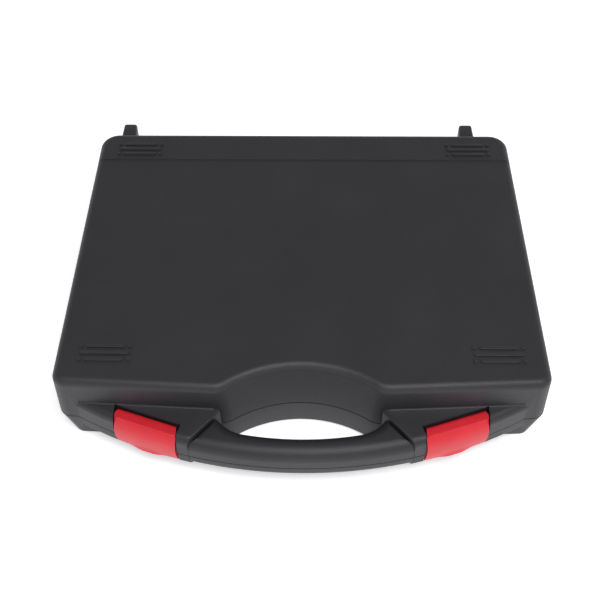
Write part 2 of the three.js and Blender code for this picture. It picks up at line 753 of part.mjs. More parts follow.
function releaseButton() {
  return turned([[0, 8.5], [2, 8.5], [2, 26], [4.2, 26], [4.2, 27.4], [3.6, 28], [0, 28]], 18);
}

/** Lever above the cover, with its shaft down to the pawl. */
function reversingLever() {
  const { shaft, top } = LEVER;
  const bottom = RATCHET.top + GAP;
  const outline = [
    ...arc(0, 0, 4.6, Math.PI / 3, (5 * Math.PI) / 3, 10),
    ...arc(13, 0, 2.4, -Math.PI / 2.4, Math.PI / 2.4, 4),
  ];
  return union(upright(outline, bottom, top), rod(shaft, GEAR.bottom + 1, bottom + 0.5, 14));
}

/** The pawl on the lever's shaft, with a tooth on each end towards the gear. */
function pawl() {
  const outline = [
    ...arc(0, 0, 4.6, -Math.PI / 1.7, Math.PI / 1.7, 8),
    new THREE.Vector2(-6.6, 4.2),
    new THREE.Vector2(-5.4, 0),
    new THREE.Vector2(-6.6, -4.2),
  ];
  return cut(upright(outline, GEAR.bottom + 0.3, GEAR.top), rod(LEVER.shaft + GAP, 0, 40, 14));
}

function ratchetGrip() {
  const { start, end, core } = GRIP;
  const bore = core + GAP;
  const profile = [
    [bore, start + 3],
    [9, start + 3],
    [10.2, start + 6],
    [10.6, start + 14],
    [9.2, start + 24],
    [11.2, start + 44],
    [12, (start + end) / 2 + 12],
    [10.8, end - 22],
    [12.4, end - 9],
    [12, end - 1],
    [bore, end - 1],
    [bore, start + 3],
  ];
  return turnedX(profile, 20).translate([0, 0, RATCHET.z]);
}

function gripEndCap() {
  const { end, core } = GRIP;
  return turnedX([
    [0, end - 9],
    [core - 0.5, end - 9],
    [core - 0.5, end - 0.7],
    [11.6, end - 0.7],
    [11, end + 3],
    [8, end + 5],
    [0, end + 5.6],
  ], 20).translate([0, 0, RATCHET.z]);
}

function ratchet() {
  const group = new THREE.Group();
  group.position.set(RATCHET.x, RATCHET.y, 0);
  const turning = new THREE.Group();
  turning.position.set(LEVER.x, 0, 0);
  turning.rotation.z = -THREE.MathUtils.degToRad(LEVER.swing / 2);
  turning.add(piece('reversing_lever', reversingLever(), STEEL), piece('pawl', pawl(), STEEL));
  group.add(
    piece('ratchet_body', ratchetBody(), CHROME),
    piece('ratchet_cover', ratchetCover(), CHROME),
    piece('cover_screw_front', coverScrew(-1), STEEL),
    piece('cover_screw_rear', coverScrew(1), STEEL),
    piece('drive_gear', driveGear(), STEEL),
    piece('release_button', releaseButton(), STEEL),
    piece('ratchet_grip', ratchetGrip(), RUBBER),
    piece('grip_end_cap', gripEndCap(), RED),
    turning,
  );
  return group;
}

// ---------------------------------------------------------------- foam

/** Pocket for the ratchet: a round for the head and a trough for the grip. */
function ratchetPocket(floor) {
  const { x, y, head } = RATCHET;
  return [
    rod(head + 0.8, floor, 30, 20).translate([x, y, 0]),
    box([x, y - 12.5, floor], [x + 36, y + 12.5, 30]),
    box([x, y - 8, floor], [x + GRIP.start + 3, y + 8, 30]),
    box([x + GRIP.start, y - 13, floor], [x + GRIP.end + 7, y + 13, 30]),
  ];
}

const barPocket = ({ x, length }, floor) =>
  box([x - 1, BAR.y - BAR.female - 0.6, floor], [x + length + 1, BAR.y + BAR.female + 0.6, 30]);

function compartment(side) {
  const { x, y, width, depth } = COMPARTMENT;
  return box(
    [side * x - width / 2, y - depth / 2, 0],
    [side * x + width / 2, y + depth / 2, 30],
  );
}

const socketPockets = (floor) =>
  SOCKET_ROWS.flatMap((row) =>
    row.sizes.map((size, i) =>
      rod(socketDiameters(size).drive / 2 + 0.5, floor, 30, 16).translate([socketX(row, i), row.y, 0]),
    ),
  );

function foam() {
  const { bottom, shoulder, top, inset, topInset } = FOAM_LID;
  const lower = cut(
    bodyLoft([[FOAM_LOWER.bottom, ...FOAM_LOWER.outline], [FOAM_LOWER.top, ...FOAM_LOWER.outline]]),
    ratchetPocket(6.6),
    rod(9, 0, 30, 20).translate([RATCHET.x, RATCHET.y, 0]),
    BARS.map((bar) => barPocket(bar, 8)),
    socketPockets(SOCKET_Z - GAP),
  );
  const upper = cut(
    bodyLoft([[FOAM_UPPER.bottom, ...FOAM_UPPER.outline], [FOAM_UPPER.top, ...FOAM_UPPER.outline]]),
    ratchetPocket(0),
    BARS.map((bar) => barPocket(bar, 0)),
    bothSides(compartment),
    socketPockets(0),
  );
  const lid = bodyLoft([[bottom, inset], [shoulder, inset], [top, topInset]]);
  return [
    piece('tray_foam_lower', lower, RED_FOAM),
    piece('tray_foam_upper', upper, BLACK_FOAM),
    piece('lid_foam', lid, BLACK_FOAM),
  ];
}

// ---------------------------------------------------------------- assembly

const assembly = new THREE.Group();
assembly.position.y = -CASE_DEPTH / 2;
assembly.add(
  lowerShell(),
  upperShell(),
  piece('handle_lower_half', handleHalf(-1), CHARCOAL),
  piece('handle_upper_half', handleHalf(1), CHARCOAL),
  ...caseFittings(),
  ...foam(),
  ...BARS.map(extensionBar),
  ...sockets(),
  ratchet(),
);

const part = new THREE.Group();
part.add(assembly);

export default part;
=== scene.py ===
"""Looks of a socket wrench set in its carrying case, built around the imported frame.

Lengths are in millimetres. X and Z are the frame's own, and Y is measured from the front of
the handle towards the hinges; to_row() turns a point into the frame's metres.
"""

import json
import math

import bmesh
import bpy
from mathutils import Matrix, Vector

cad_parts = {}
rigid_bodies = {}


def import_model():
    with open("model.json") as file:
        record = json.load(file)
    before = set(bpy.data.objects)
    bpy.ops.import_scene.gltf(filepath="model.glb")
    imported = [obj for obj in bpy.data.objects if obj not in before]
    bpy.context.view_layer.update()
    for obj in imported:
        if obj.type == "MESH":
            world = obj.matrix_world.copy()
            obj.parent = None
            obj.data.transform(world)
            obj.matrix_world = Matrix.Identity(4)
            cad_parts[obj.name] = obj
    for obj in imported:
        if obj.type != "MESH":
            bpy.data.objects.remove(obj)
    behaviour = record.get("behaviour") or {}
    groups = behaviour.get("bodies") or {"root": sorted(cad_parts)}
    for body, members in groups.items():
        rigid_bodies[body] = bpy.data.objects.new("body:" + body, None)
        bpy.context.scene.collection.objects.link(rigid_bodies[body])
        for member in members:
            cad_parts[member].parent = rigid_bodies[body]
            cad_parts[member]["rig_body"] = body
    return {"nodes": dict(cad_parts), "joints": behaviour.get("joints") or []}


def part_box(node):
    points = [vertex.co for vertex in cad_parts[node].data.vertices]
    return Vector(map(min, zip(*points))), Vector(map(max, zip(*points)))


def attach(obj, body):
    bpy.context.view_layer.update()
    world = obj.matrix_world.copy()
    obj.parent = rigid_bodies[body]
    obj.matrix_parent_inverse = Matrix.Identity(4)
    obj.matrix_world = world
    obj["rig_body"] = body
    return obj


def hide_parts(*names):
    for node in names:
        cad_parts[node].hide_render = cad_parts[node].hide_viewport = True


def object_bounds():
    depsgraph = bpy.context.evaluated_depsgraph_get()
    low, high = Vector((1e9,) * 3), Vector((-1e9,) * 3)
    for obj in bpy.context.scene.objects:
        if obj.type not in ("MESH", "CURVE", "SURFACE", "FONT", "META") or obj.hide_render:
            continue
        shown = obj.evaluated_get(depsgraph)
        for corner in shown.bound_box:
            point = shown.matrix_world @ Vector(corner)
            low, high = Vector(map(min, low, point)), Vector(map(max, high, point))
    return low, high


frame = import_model()
cad_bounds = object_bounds()

MM = 0.001
CASE_LOW, CASE_HIGH = (Vector(corner) / MM for corner in cad_bounds)
WIDTH, DEPTH, HEIGHT = CASE_HIGH - CASE_LOW
JOINTS = {joint["name"]: joint for joint in frame["joints"]}


def from_row(point):
    """A point of the frame, in metres, in this script's millimetres."""
    x, y, z = point
    return Vector((x / MM, y / MM - CASE_LOW.y, z / MM))


def to_row(point):
    x, y, z = point
    return Vector((x, y + CASE_LOW.y, z)) * MM


def node_box(node):
    """Lowest and highest corner of a CAD node."""
    return [from_row(corner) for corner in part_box(node)]


def node_middle(node):
    low, high = node_box(node)
    return (low + high) / 2


def joint_point(name):
    return from_row(JOINTS[name]["pos_m"])


# ---- dimensions

GAP = 0.3
WALL = 2.5
HINGE = joint_point("lid_hinge")
PARTING = HINGE.z
SIDES = (-1, 1)
SIDE_NAMES = {-1: "left", 1: "right"}

# Plan outline of the case body. Inset 0 is the wall's outer face near the top of the lid.
FLARED = (-1.6, -1.2)  # insets of side and recess at the parting, where the draft brings them out
SIDE_X = WIDTH / 2 + FLARED[0]
REAR_Y = HINGE.y - 5.9
RECESS_Y, RECESS_R = -25.5, 70
LIP_R = 15
FRONT_SLOPE = math.radians(2.85)
FRONT_START = (50, 29.2)
FRONT_CORNER_R = 8
REAR_CORNER_R = 12

# Heights of the body, the recessed panel and the ribs at its corners.
BAND_Z = HEIGHT - 0.8
PANEL_DROP = 0.5
PANEL_Y = (65.2, 213.7)
PANEL_RAMP = 0.08
LID_FILLET, CAVITY_FILLET = 4.6, 4
BASE_Z = 0.5
BASE_FILLET = 1.6
BASE_INSET, BASE_SIDE, BASE_RECESS = 1.2, 2.8, -2.2  # how far the walls lean in at the foot
TONGUE_HEIGHT, TONGUE_INSET = 2, 1.4
RIB_X, RIB_WIDTH, RIB_PITCH = 110.1, 2.3, 4.6
RIB_MIDDLE, RIB_OUTER, RIB_DOT, RIB_DOT_R = 28.2, 21.8, 13.7, 1.2
RIB_ROWS_Y = (53.2, 223.3)
PAD_LENGTH, PAD_WIDTH, PAD_R, PAD_SHIFT = 27, 11, 3, 2

# Front blocks and handle on one large arc. The handle's rear arc is tighter.
ARC_R = 262.2
JOINT_REAR, JOINT_FRONT = Vector((45.3, 27.7)), Vector((61.4, 8.8))
JOINT_ALONG = (JOINT_FRONT - JOINT_REAR).normalized()
JOINT_NORMAL = Vector((-JOINT_ALONG.y, JOINT_ALONG.x))
BLOCK_BOTTOM, BLOCK_TOP, BLOCK_FILLET, BLOCK_END_X = 9.5, 34.5, 4.5, 130.5
BLOCK_REAR = [(126, 44), (49, 38)]
BLOCK_CORE = [(52.8, 28.6), (64.8, 14.6), (64.8, 21.9), (84, 28.6)]
COVE_R, COVE_X = 0.9, (49, 125)
JOINT_EDGE, HANDLE_EDGE, JOINT_GAP = 0.8, 2.4, 0.18
HANDLE_BOTTOM = node_box("handle_lower_half")[0].z
HANDLE_TOP = node_box("handle_upper_half")[1].z
HANDLE_THICKNESS, HANDLE_REAR_R, HANDLE_FILLET = 14.2, 180, 7
HANDLE_FILLET_X, HANDLE_CORNER_R = 32, 23
HANDLE_CHANNEL = math.radians(9)  # half the arc of the hollow inside the handle
TENON_LENGTH, TENON_DEPTH, TENON_ROOT, TENON_HEIGHT = 10, 3.5, 1, 7.5

# Latches, in their own frame: X along the latch, Y inward from its face.
LATCH_AXIS = JOINTS["latch_right_hinge"]["axis"]
LATCH_ANGLE = math.atan2(LATCH_AXIS[1], LATCH_AXIS[0]) + math.pi
LATCH_CENTRE = (86.4, 14.65)
LATCH_BOTTOM, LATCH_TOP = (corner.z for corner in node_box("latch_right"))
LATCH_HALF, LATCH_PLATE = 18.6, 2.2
# The ends bow and the face bulges by the first value, most at the second one above the foot.
LATCH_BOW, BOW_Z = 0.9, 9
LATCH_BULGE, BULGE_Z = 0.8, 8
ROUND_START, ROUND_SHARE, ROUND_POWER = 12, 0.017, 2.4  # how the face leans back to its top
LIP_OUT, LIP_HEIGHT, LIP_HALF, LIP_FADE, LIP_POWER = 1.2, 4.2, 12, 9, 1.6
HOOK_HALF, HOOK_BOTTOM, HOOK_TOP = 12, 15, 17.2
CATCH_FRONT, CATCH_BOTTOM, CATCH_TOP = 4.2, 16.5, 19.2
PIN_Y, PIN_Z, PIN_R, PIN_BORE, PIN_BARREL = 7.3, 31, 1.05, 1.35, 2.4
PIN_LENGTH, PIN_SHIFT = 42.8, 2.1
BARREL_INNER, BARREL_OUTER = 17.3, 20.5
BAY_HALF, BAY_FRONT, BAY_LID_REAR, BAY_BASE_REAR = 19.2, -6, 10.3, 6.2
BAY_TOP = BLOCK_TOP + 1
RELIEF_FRONT, RELIEF_BOTTOM = 4.4, 27.4

# Hinges and feet.
HINGE_X, HINGE_R, HINGE_PIN_R, HINGE_BORE = 80, 4.4, 1.5, 1.8
HINGE_OUTER, HINGE_INNER, HINGE_GAP = 14, 18, 0.5
HINGE_SPAN = 2 * HINGE_OUTER + HINGE_INNER + 2 * HINGE_GAP
FOOT_X = {-1: -125.9, 1: 106.3}
FOOT_WIDTH, FOOT_REACH = 10.8, DEPTH - HINGE.y
FOOT_OUTER_DRAFT, FOOT_INNER_DRAFT, FOOT_EDGE = 0.5, 2.1, 2.2

# Tools.
DRIVE, DRIVE_HOLE = 9.5, 9.9
SOCKET_NODES = sorted(node for node in frame["nodes"] if node.startswith("socket_"))
BAR_NODES = sorted(node for node in frame["nodes"] if node.startswith("extension_bar_"))
RATCHET = joint_point("ratchet_drive_spin")
LEVER = joint_point("reversing_lever_turn")
LEVER_REST = -math.radians(JOINTS["reversing_lever_turn"]["range_deg"][1] / 2)
# From the lever's own frame, pointing along the handle, to where it rests.
LEVER_PLACE = Matrix.Translation((*LEVER.xy, 0)) @ Matrix.Rotation(LEVER_REST, 4, "Z")
HEAD_R, HEAD_BOTTOM, COVER_Z, HEAD_TOP = 16.5, 14.5, 24.3, 25.5
NECK_X, NECK_HALF = 34, 7
CHAMBER_Z, CHAMBER_R, BOSS_R, PIVOT_R, PIVOT_BORE, LEVER_R = 16.5, 11.7, 7.8, 2.4, 2.7, 4.6
SCREW_X, SCREW_Y, SCREW_BORE = -7.8, 11.6, 1.3
GRIP_Z, GRIP_BORE = 20, 5.8
COMPARTMENT_X, COMPARTMENT_Y, COMPARTMENT_WIDTH, COMPARTMENT_DEPTH = 90, 70, 64, 44
POCKET_TOP = 40

# ---- mesh helpers

SHARP_ANGLE = math.radians(30)

def link(name, mesh):
    piece = bpy.data.objects.new(name, mesh)
    bpy.context.scene.collection.objects.link(piece)
    return piece


def solid(points, faces):
    """A closed mesh object from points in this script's millimetres."""
    mesh = bpy.data.meshes.new("tool")
    mesh.from_pydata([to_row(point) for point in points], [], faces)
    mesh.validate()
    return link("tool", mesh)


def carve(base, add=(), remove=(), keep=()):
    """Joins and cuts base with other solids, which are used up."""
    tools = []
    for operation, group in (("UNION", add), ("DIFFERENCE", remove), ("INTERSECT", keep)):
        for tool in group:
            modifier = base.modifiers.new(operation.lower(), "BOOLEAN")
            modifier.operation = operation
            modifier.object = tool
            modifier.solver = "MANIFOLD"
            tools.append(tool)
    bpy.context.view_layer.update()
    depsgraph = bpy.context.evaluated_depsgraph_get()
    mesh = bpy.data.meshes.new_from_object(base.evaluated_get(depsgraph))
    base.modifiers.clear()
    base.data = mesh
    for tool in tools:
        bpy.data.objects.remove(tool, do_unlink=True)
    return base


def show(piece, node, material, sharp_angle=SHARP_ANGLE):
    """Finishes a piece that stands for a CAD node: name, shading, material and body."""
    piece.name = f"{node}_finish"
    piece.data.name = piece.name
    piece.data.materials.clear()
    piece.data.materials.append(material)
    piece.data.shade_smooth()
    piece.data.set_sharp_from_angle(angle=sharp_angle)
    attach(piece, frame["nodes"][node]["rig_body"])
    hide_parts(node)
    return piece


def arc(x, y, r, start, end, steps):
    """Points along an arc, both ends included."""
    angles = (start + (end - start) * i / steps for i in range(steps + 1))
    return [(x + r * math.cos(angle), y + r * math.sin(angle)) for angle in angles]


def ring_faces(count, rows, closed=False):
    """Faces between neighbouring rings of count points, and back to the first if closed."""
    faces = []
    for row in range(rows if closed else rows - 1):
        low, high = row * count, (row + 1) % rows * count
        for i in range(count):
            after = (i + 1) % count
            faces.append((low + i, low + after, high + after, high + i))
    return faces


def caps(count, rows):
    """Faces that close the first and the last ring."""
    return [tuple(reversed(range(count))), tuple(range((rows - 1) * count, rows * count))]


def rings_solid(rings):
    """A closed mesh through equal rings of points."""
    size = len(rings[0]), len(rings)
    return solid([point for ring in rings for point in ring], ring_faces(*size) + caps(*size))


def loft(levels):
    """A solid through (height, outline) levels, from the lowest up."""
    return rings_solid([[(x, y, z) for x, y in outline] for z, outline in levels])


def upright(outline, bottom, top):
    return loft([(bottom, outline), (top, outline)])


def box(low, high):
    (x0, y0, z0), (x1, y1, z1) = low, high
    return upright([(x0, y0), (x1, y0), (x1, y1), (x0, y1)], z0, z1)


def rounded_rectangle(x, y, width, depth, r, steps=6):
    """Outline of a rectangle with round corners about a centre."""
    outline = []
    for turn, (sx, sy) in enumerate(((1, -1), (1, 1), (-1, 1), (-1, -1))):
        start = math.pi / 2 * (turn - 1)
        corner = (x + sx * (width / 2 - r), y + sy * (depth / 2 - r))
        outline += arc(*corner, r, start, start + math.pi / 2, steps)
    return outline


def turned(profile, centre=(0, 0, 0), segments=48, along="Z"):
    """A body turned about Z or X through a centre, from (radius, distance) points.

    The profile goes outwards from the axis at its low end and back to it at its high end, or
    closes on itself round a bore.
    """
    cx, cy, cz = centre
    closed = profile[0] == profile[-1]
    stations = profile[:-1] if closed else profile[1:-1]
    points = []
    for r, distance in stations:
        for i in range(segments):
            angle = math.tau * i / segments
            a, b = r * math.cos(angle), r * math.sin(angle)
            point = (a, b, distance) if along == "Z" else (distance, a, b)
            points.append((cx + point[0], cy + point[1], cz + point[2]))
    faces = ring_faces(segments, len(stations), closed)
    return solid(points, faces if closed else faces + caps(segments, len(stations)))


def rod_profile(r, start, end, edge):
    if not edge:
        return [(0, start), (r, start), (r, end), (0, end)]
    low, high = start + edge, end - edge
    return [(0, start), (r - edge, start), (r, low), (r, high), (r - edge, end), (0, end)]


def rod(r, bottom, top, centre=(0, 0), segments=48, edge=0.0):
    return turned(rod_profile(r, bottom, top, edge), (*centre, 0), segments)


def rod_x(r, start, end, y, z, segments=36, edge=0.0):
    return turned(rod_profile(r, start, end, edge), (0, y, z), segments, "X")


def along_x(profile, start, end):
    """A (y, z) profile, counter-clockwise seen from +X, extruded along X."""
    return rings_solid([[(x, y, z) for y, z in profile] for x in (start, end)])


def soften(piece, width, segments=3):
    """Rounds the sharp edges of a simple solid."""
    mesh = bmesh.new()
    mesh.from_mesh(piece.data)
    sharp = [edge for edge in mesh.edges if edge.calc_face_angle(0) > SHARP_ANGLE]
    options = {"segments": segments, "profile": 0.5, "affect": "EDGES", "clamp_overlap": True}
    bmesh.ops.bevel(mesh, geom=sharp, offset=width * MM, **options)
    mesh.to_mesh(piece.data)
    mesh.free()
    return piece


def transformed(piece, matrix):
    """Moves a solid's points by a matrix in this script's millimetres."""
    for vertex in piece.data.vertices:
        vertex.co = to_row(matrix @ from_row(vertex.co))
    return piece


def quarter_round(rise, top, r):
    """How far an edge of radius r below a top has turned inwards at a rise."""
    share = max(0, rise - top + r) / r
    return r * (1 - math.sqrt(max(0, 1 - share**2)))


def fillet(r, steps):
    """(rise, inset) pairs up a quarter round."""
    angles = (math.pi / 2 * i / steps for i in range(1, steps + 1))
    return [(r * math.sin(angle), r * (1 - math.cos(angle))) for angle in angles]


# ---- outline of the case body


def front_line_y(x):
    return FRONT_START[1] + (x - FRONT_START[0]) * math.tan(FRONT_SLOPE)


def lip_centre(r):
    """Centre of the rounding between the hand recess, of radius r, and the straight front wall."""
    start = front_line_y(0) + LIP_R / math.cos(FRONT_SLOPE) - RECESS_Y
    slope = math.tan(FRONT_SLOPE)
    a, b = 1 + slope**2, start * slope
    x = (-b + math.sqrt(b**2 - a * (start**2 - (r + LIP_R) ** 2))) / a
    return x, RECESS_Y + start + slope * x


def body_outline(inset, side=0.0, recess=0.0):
    """The body in plan, counter-clockwise from the middle of the recess, moved inwards.

    The side walls and the wall of the recess each move in by a further amount.
    """
    r = RECESS_R + recess
    lip_x, lip_y = lip_centre(r)
    lip_angle = math.atan2(lip_y - RECESS_Y, lip_x)
    down = FRONT_SLOPE - math.pi / 2
    corner_x = SIDE_X - side - FRONT_CORNER_R
    corner_y = front_line_y(corner_x) + FRONT_CORNER_R / math.cos(FRONT_SLOPE)
    rear_x, rear_y = SIDE_X - side - REAR_CORNER_R, REAR_Y - REAR_CORNER_R
    half = arc(0, RECESS_Y, r + inset, math.pi / 2, lip_angle, 20)
    half += arc(lip_x, lip_y, LIP_R - inset, lip_angle - math.pi, down, 10)[1:]
    half += arc(corner_x, corner_y, FRONT_CORNER_R - inset, down, 0, 10)
    half += [(SIDE_X - side - inset, y) for y in panel_steps()]
    half += arc(rear_x, rear_y, REAR_CORNER_R - inset, 0, math.pi / 2, 14)
    return half + [(-x, y) for x, y in reversed(half[1:])]


def panel_steps():
    return [y + way * PANEL_RAMP for y in PANEL_Y for way in SIDES]


def body_loft(levels):
    """A body through (height, inset, side, recess) levels."""
    return loft([(z, body_outline(*insets)) for z, *insets in levels])


def lid_outside():
    """The lid's outer form, whose top drops a little over the panel."""
    start = BAND_Z - LID_FILLET
    levels = [(PARTING + GAP / 2, 0.25, *FLARED), (PARTING + GAP / 2 + 0.3, 0, *FLARED)]
    levels += [(start - 0.6, 0, -0.02, -0.02), (start, 0)]
    levels += [(start + rise, inset) for rise, inset in fillet(LID_FILLET, 12)]
    levels.append((BAND_Z, LID_FILLET + 0.5))
    low, high = PANEL_Y[0] + PANEL_RAMP / 2, PANEL_Y[1] - PANEL_RAMP / 2
    rings = []
    for z, *insets in levels:
        drop = PANEL_DROP * max(0, z - start) / LID_FILLET
        outline = body_outline(*insets)
        rings.append([(x, y, z - (drop if low < y < high else 0)) for x, y in outline])
    count, rows = len(rings[0]), len(rings)
    # Five faces close the top: the two bands, the panel and the ramps between them.
    first = next(i for i, point in enumerate(rings[0]) if abs(point[1] - panel_steps()[0]) < 1e-6)
    right = [first + i for i in range(4)]
    left = [count - i for i in right]
    top = [[*range(right[0] + 1), *range(left[0], count)]]
    top += [(right[i], right[i + 1], left[i + 1], left[i]) for i in range(3)]
    top.append(range(right[3], left[3] + 1))
    faces = ring_faces(count, rows) + caps(count, rows)[:1]
    faces += [tuple((rows - 1) * count + i for i in face) for face in top]
    return solid([point for ring in rings for point in ring], faces)


# ---- front blocks and handle


def joint_crossing(centre, r, offset):
    """Where the joint between handle and block, moved by an offset, leaves a circle."""
    origin = JOINT_REAR + JOINT_NORMAL * offset - Vector(centre)
    b = origin.dot(JOINT_ALONG)
    distance = -b + math.sqrt(b**2 - origin.length_squared + r**2)
    return origin + JOINT_ALONG * distance + Vector(centre)


def arc_angle(x, r):
    return math.asin(x / r) - math.pi / 2


def angle_from(centre, point):
    return math.atan2(point[1] - centre[1], point[0] - centre[0])


def on_side(outline, side):
    """An outline drawn for the right side, put on either side."""
    return outline if side > 0 else [(-x, y) for x, y in reversed(outline)]


def block_outline(inset, side, end_inset):
    """A block in plan. Its face at the joint draws back by end_inset."""
    r = ARC_R - inset
    centre = (0, ARC_R)
    front = joint_crossing(centre, r, end_inset)
    outline = [tuple(JOINT_REAR + JOINT_NORMAL * end_inset)]
    outline += arc(0, ARC_R, r, angle_from(centre, front), arc_angle(BLOCK_END_X, ARC_R), 28)
    return on_side(outline + BLOCK_REAR, side)


def block_half(side, way):
    end = BLOCK_TOP if way > 0 else BLOCK_BOTTOM
    face = PARTING + way * GAP / 2
    start = end - way * BLOCK_FILLET
    levels = [(face, 0.2, 0), (face + way * 0.25, 0, 0), (start - way * 0.5, 0, 0), (start, 0, 0)]
    for rise, inset in fillet(BLOCK_FILLET, 12):
        end_inset = quarter_round(rise, BLOCK_FILLET, JOINT_EDGE)
        levels.append((start + way * rise, inset, end_inset))
    if way < 0:
        levels.reverse()
    return loft([(z, block_outline(inset, side, end_inset)) for z, inset, end_inset in levels])


def cove(side):
    """The small hollow rounding between the top of a block and the front wall."""
    r = COVE_R
    profile = [(0.5, -0.5), (0.5, r), *arc(-r, r, r, 0, -math.pi / 2, 6), (-r, -0.5)]
    rings = []
    for x in sorted(side * x for x in COVE_X):
        wall = front_line_y(abs(x))
        rings.append([(x, wall + y, BLOCK_TOP + z) for y, z in profile])
    return rings_solid(rings)


def across_joint(half_length, start, end, side):
    """Outline of a block along the joint that reaches from start to end across it."""
    middle = (JOINT_REAR + JOINT_FRONT) / 2
    corners = ((-half_length, start), (half_length, start), (half_length, end), (-half_length, end))
    outline = [tuple(middle + JOINT_ALONG * t + JOINT_NORMAL * n) for t, n in corners]
    return on_side(outline, side)


def block_cuts(side, way):
    """Tenon pocket and the core that keeps the walls of a block even."""
    tenon_end = PARTING + way * (TENON_HEIGHT + GAP)
    core_end = BLOCK_TOP - WALL if way > 0 else BLOCK_BOTTOM + WALL
    pocket = across_joint(TENON_LENGTH / 2 + GAP, -TENON_ROOT, TENON_DEPTH + GAP, side)
    return [
        upright(pocket, *sorted((PARTING, tenon_end))),
        upright(on_side(BLOCK_CORE, side), *sorted((PARTING, core_end))),
    ]


def handle_outline(inset, end_inset):
    """The handle in plan. Its ends draw back from the blocks by end_inset."""
    centre = (0, ARC_R)
    rear_y = HANDLE_THICKNESS + HANDLE_REAR_R
    tangent = arc_angle(HANDLE_FILLET_X, HANDLE_REAR_R)
    reach = HANDLE_REAR_R - HANDLE_CORNER_R
    corner = (reach * math.cos(tangent), rear_y + reach * math.sin(tangent))
    offset = -JOINT_GAP - end_inset
    front = joint_crossing(centre, ARC_R - inset, offset)
    rear = joint_crossing(corner, HANDLE_CORNER_R + inset, offset)
    half = arc(0, ARC_R, ARC_R - inset, -math.pi / 2, angle_from(centre, front), 26)
    half += arc(*corner, HANDLE_CORNER_R + inset, angle_from(corner, rear), tangent, 12)
    half += arc(0, rear_y, HANDLE_REAR_R + inset, tangent, -math.pi / 2, 12)[1:]
    return half + [(-x, y) for x, y in reversed(half[1:-1])]


def handle_half(way):
    end = HANDLE_TOP if way > 0 else HANDLE_BOTTOM
    face = PARTING + way * GAP / 2
    start = end - way * HANDLE_FILLET
    levels = [(face, 0.2, 0.2), (face + way * 0.25, 0, 0), (start, 0, 0)]
    for rise, inset in fillet(HANDLE_FILLET, 14):
        end_inset = quarter_round(rise, HANDLE_FILLET, HANDLE_EDGE)
        levels.append((start + way * rise, min(inset, HANDLE_FILLET - 0.15), end_inset))
    if way < 0:
        levels.reverse()
    shape = loft([(z, handle_outline(inset, end_inset)) for z, inset, end_inset in levels])
    heights = sorted((face, PARTING + way * TENON_HEIGHT))
    tenons = []
    for side in SIDES:
        outline = across_joint(TENON_LENGTH / 2, -TENON_ROOT, TENON_DEPTH, side)
        tenons.append(upright(outline, *heights))
    front, rear = ARC_R - WALL, ARC_R - HANDLE_THICKNESS + WALL
    start, end_angle = -math.pi / 2 - HANDLE_CHANNEL, -math.pi / 2 + HANDLE_CHANNEL
    channel = arc(0, ARC_R, front, start, end_angle, 20) + arc(0, ARC_R, rear, end_angle, start, 20)
    hollow = upright(channel, *sorted((face - way, end - way * 2 * WALL)))
    return carve(shape, tenons, [hollow])


# ---- latches


def latch_matrix(side):
    x, y = LATCH_CENTRE
    return Matrix.Translation((side * x, y, 0)) @ Matrix.Rotation(side * LATCH_ANGLE, 4, "Z")


def skewed_outline(side, half, rear):
    """An outline in the latch's frame whose ends are parallel to the sides of the case."""
    skew = side * math.tan(LATCH_ANGLE)
    corners = ((-half, BAY_FRONT), (half, BAY_FRONT), (half, rear), (-half, rear))
    return [(x + skew * y, y) for x, y in corners]


def bowed(piece, side):
    """Curves the ends of a latch or its bay outwards."""
    for vertex in piece.data.vertices:
        rise = (from_row(vertex.co).z - LATCH_BOTTOM) / BOW_Z - 1
        vertex.co.x += side * LATCH_BOW * max(0, 1 - rise**2) * MM
    return piece


def latch_bay(side, rear, bottom, top):
    outline = skewed_outline(side, BAY_HALF, rear)
    steps = 24
    bay = loft([(bottom + (top - bottom) * i / steps, outline) for i in range(steps + 1)])
    return bowed(transformed(bay, latch_matrix(side)), side)


def bay_relief(side):
    """Room behind the pin, at the end towards the handle, for the flange of the open latch."""
    wall = BAY_HALF - math.tan(LATCH_ANGLE) * RELIEF_FRONT
    near, far = RELIEF_FRONT, BAY_LID_REAR
    outline = on_side([(-wall, near), (0, near), (0, far), (-wall, far)], side)
    return transformed(upright(outline, RELIEF_BOTTOM, BAY_TOP), latch_matrix(side))


def pin_rod(side, r, length, edge=0.0):
    start = side * PIN_SHIFT - length / 2
    pin = rod_x(r, start, start + length, PIN_Y, PIN_Z, 24, edge)
    return transformed(pin, latch_matrix(side))


def smooth_step(value):
    value = min(1, max(0, value))
    return value * value * (3 - 2 * value)


def latch_shell():
    """Convex face plate, rounded over at the top, following the front arc, with a finger lip."""
    inner_top = LATCH_TOP - LATCH_PLATE
    profile = []
    steps = 24
    for i in range(steps + 1):
        height = (LATCH_TOP - 0.15 - LATCH_BOTTOM) * i / steps
        convex = LATCH_BULGE * ((height / BULGE_Z - 1) ** 2 - 1)
        lean = ROUND_SHARE * max(0, height - ROUND_START) ** ROUND_POWER
        profile.append((convex + lean, LATCH_BOTTOM + height))
    profile += [(3.8, LATCH_TOP - 0.12), (3.8, inner_top)]
    profile += [(3, inner_top - 1), (2.4, inner_top - 2.2)]
    inside = (inner_top - 2.8, 20, LATCH_BOTTOM + 4, LATCH_BOTTOM + 2, LATCH_BOTTOM)
    profile += [(LATCH_PLATE, z) for z in inside]
    profile.reverse()
    rings = []
    half_steps = 20
    for step in range(-half_steps, half_steps + 1):
        x = step / half_steps * (LATCH_HALF + 2)
        bend = x * x / (2 * ARC_R)
        lip = LIP_OUT * smooth_step((LIP_HALF - abs(x)) / LIP_FADE)
        ring = []
        for y, z in profile:
            low = max(0, LATCH_BOTTOM + LIP_HEIGHT - z) / LIP_HEIGHT
            ring.append((x, y + bend - lip * low**LIP_POWER, z))
        rings.append(ring)
    return rings_solid(rings)


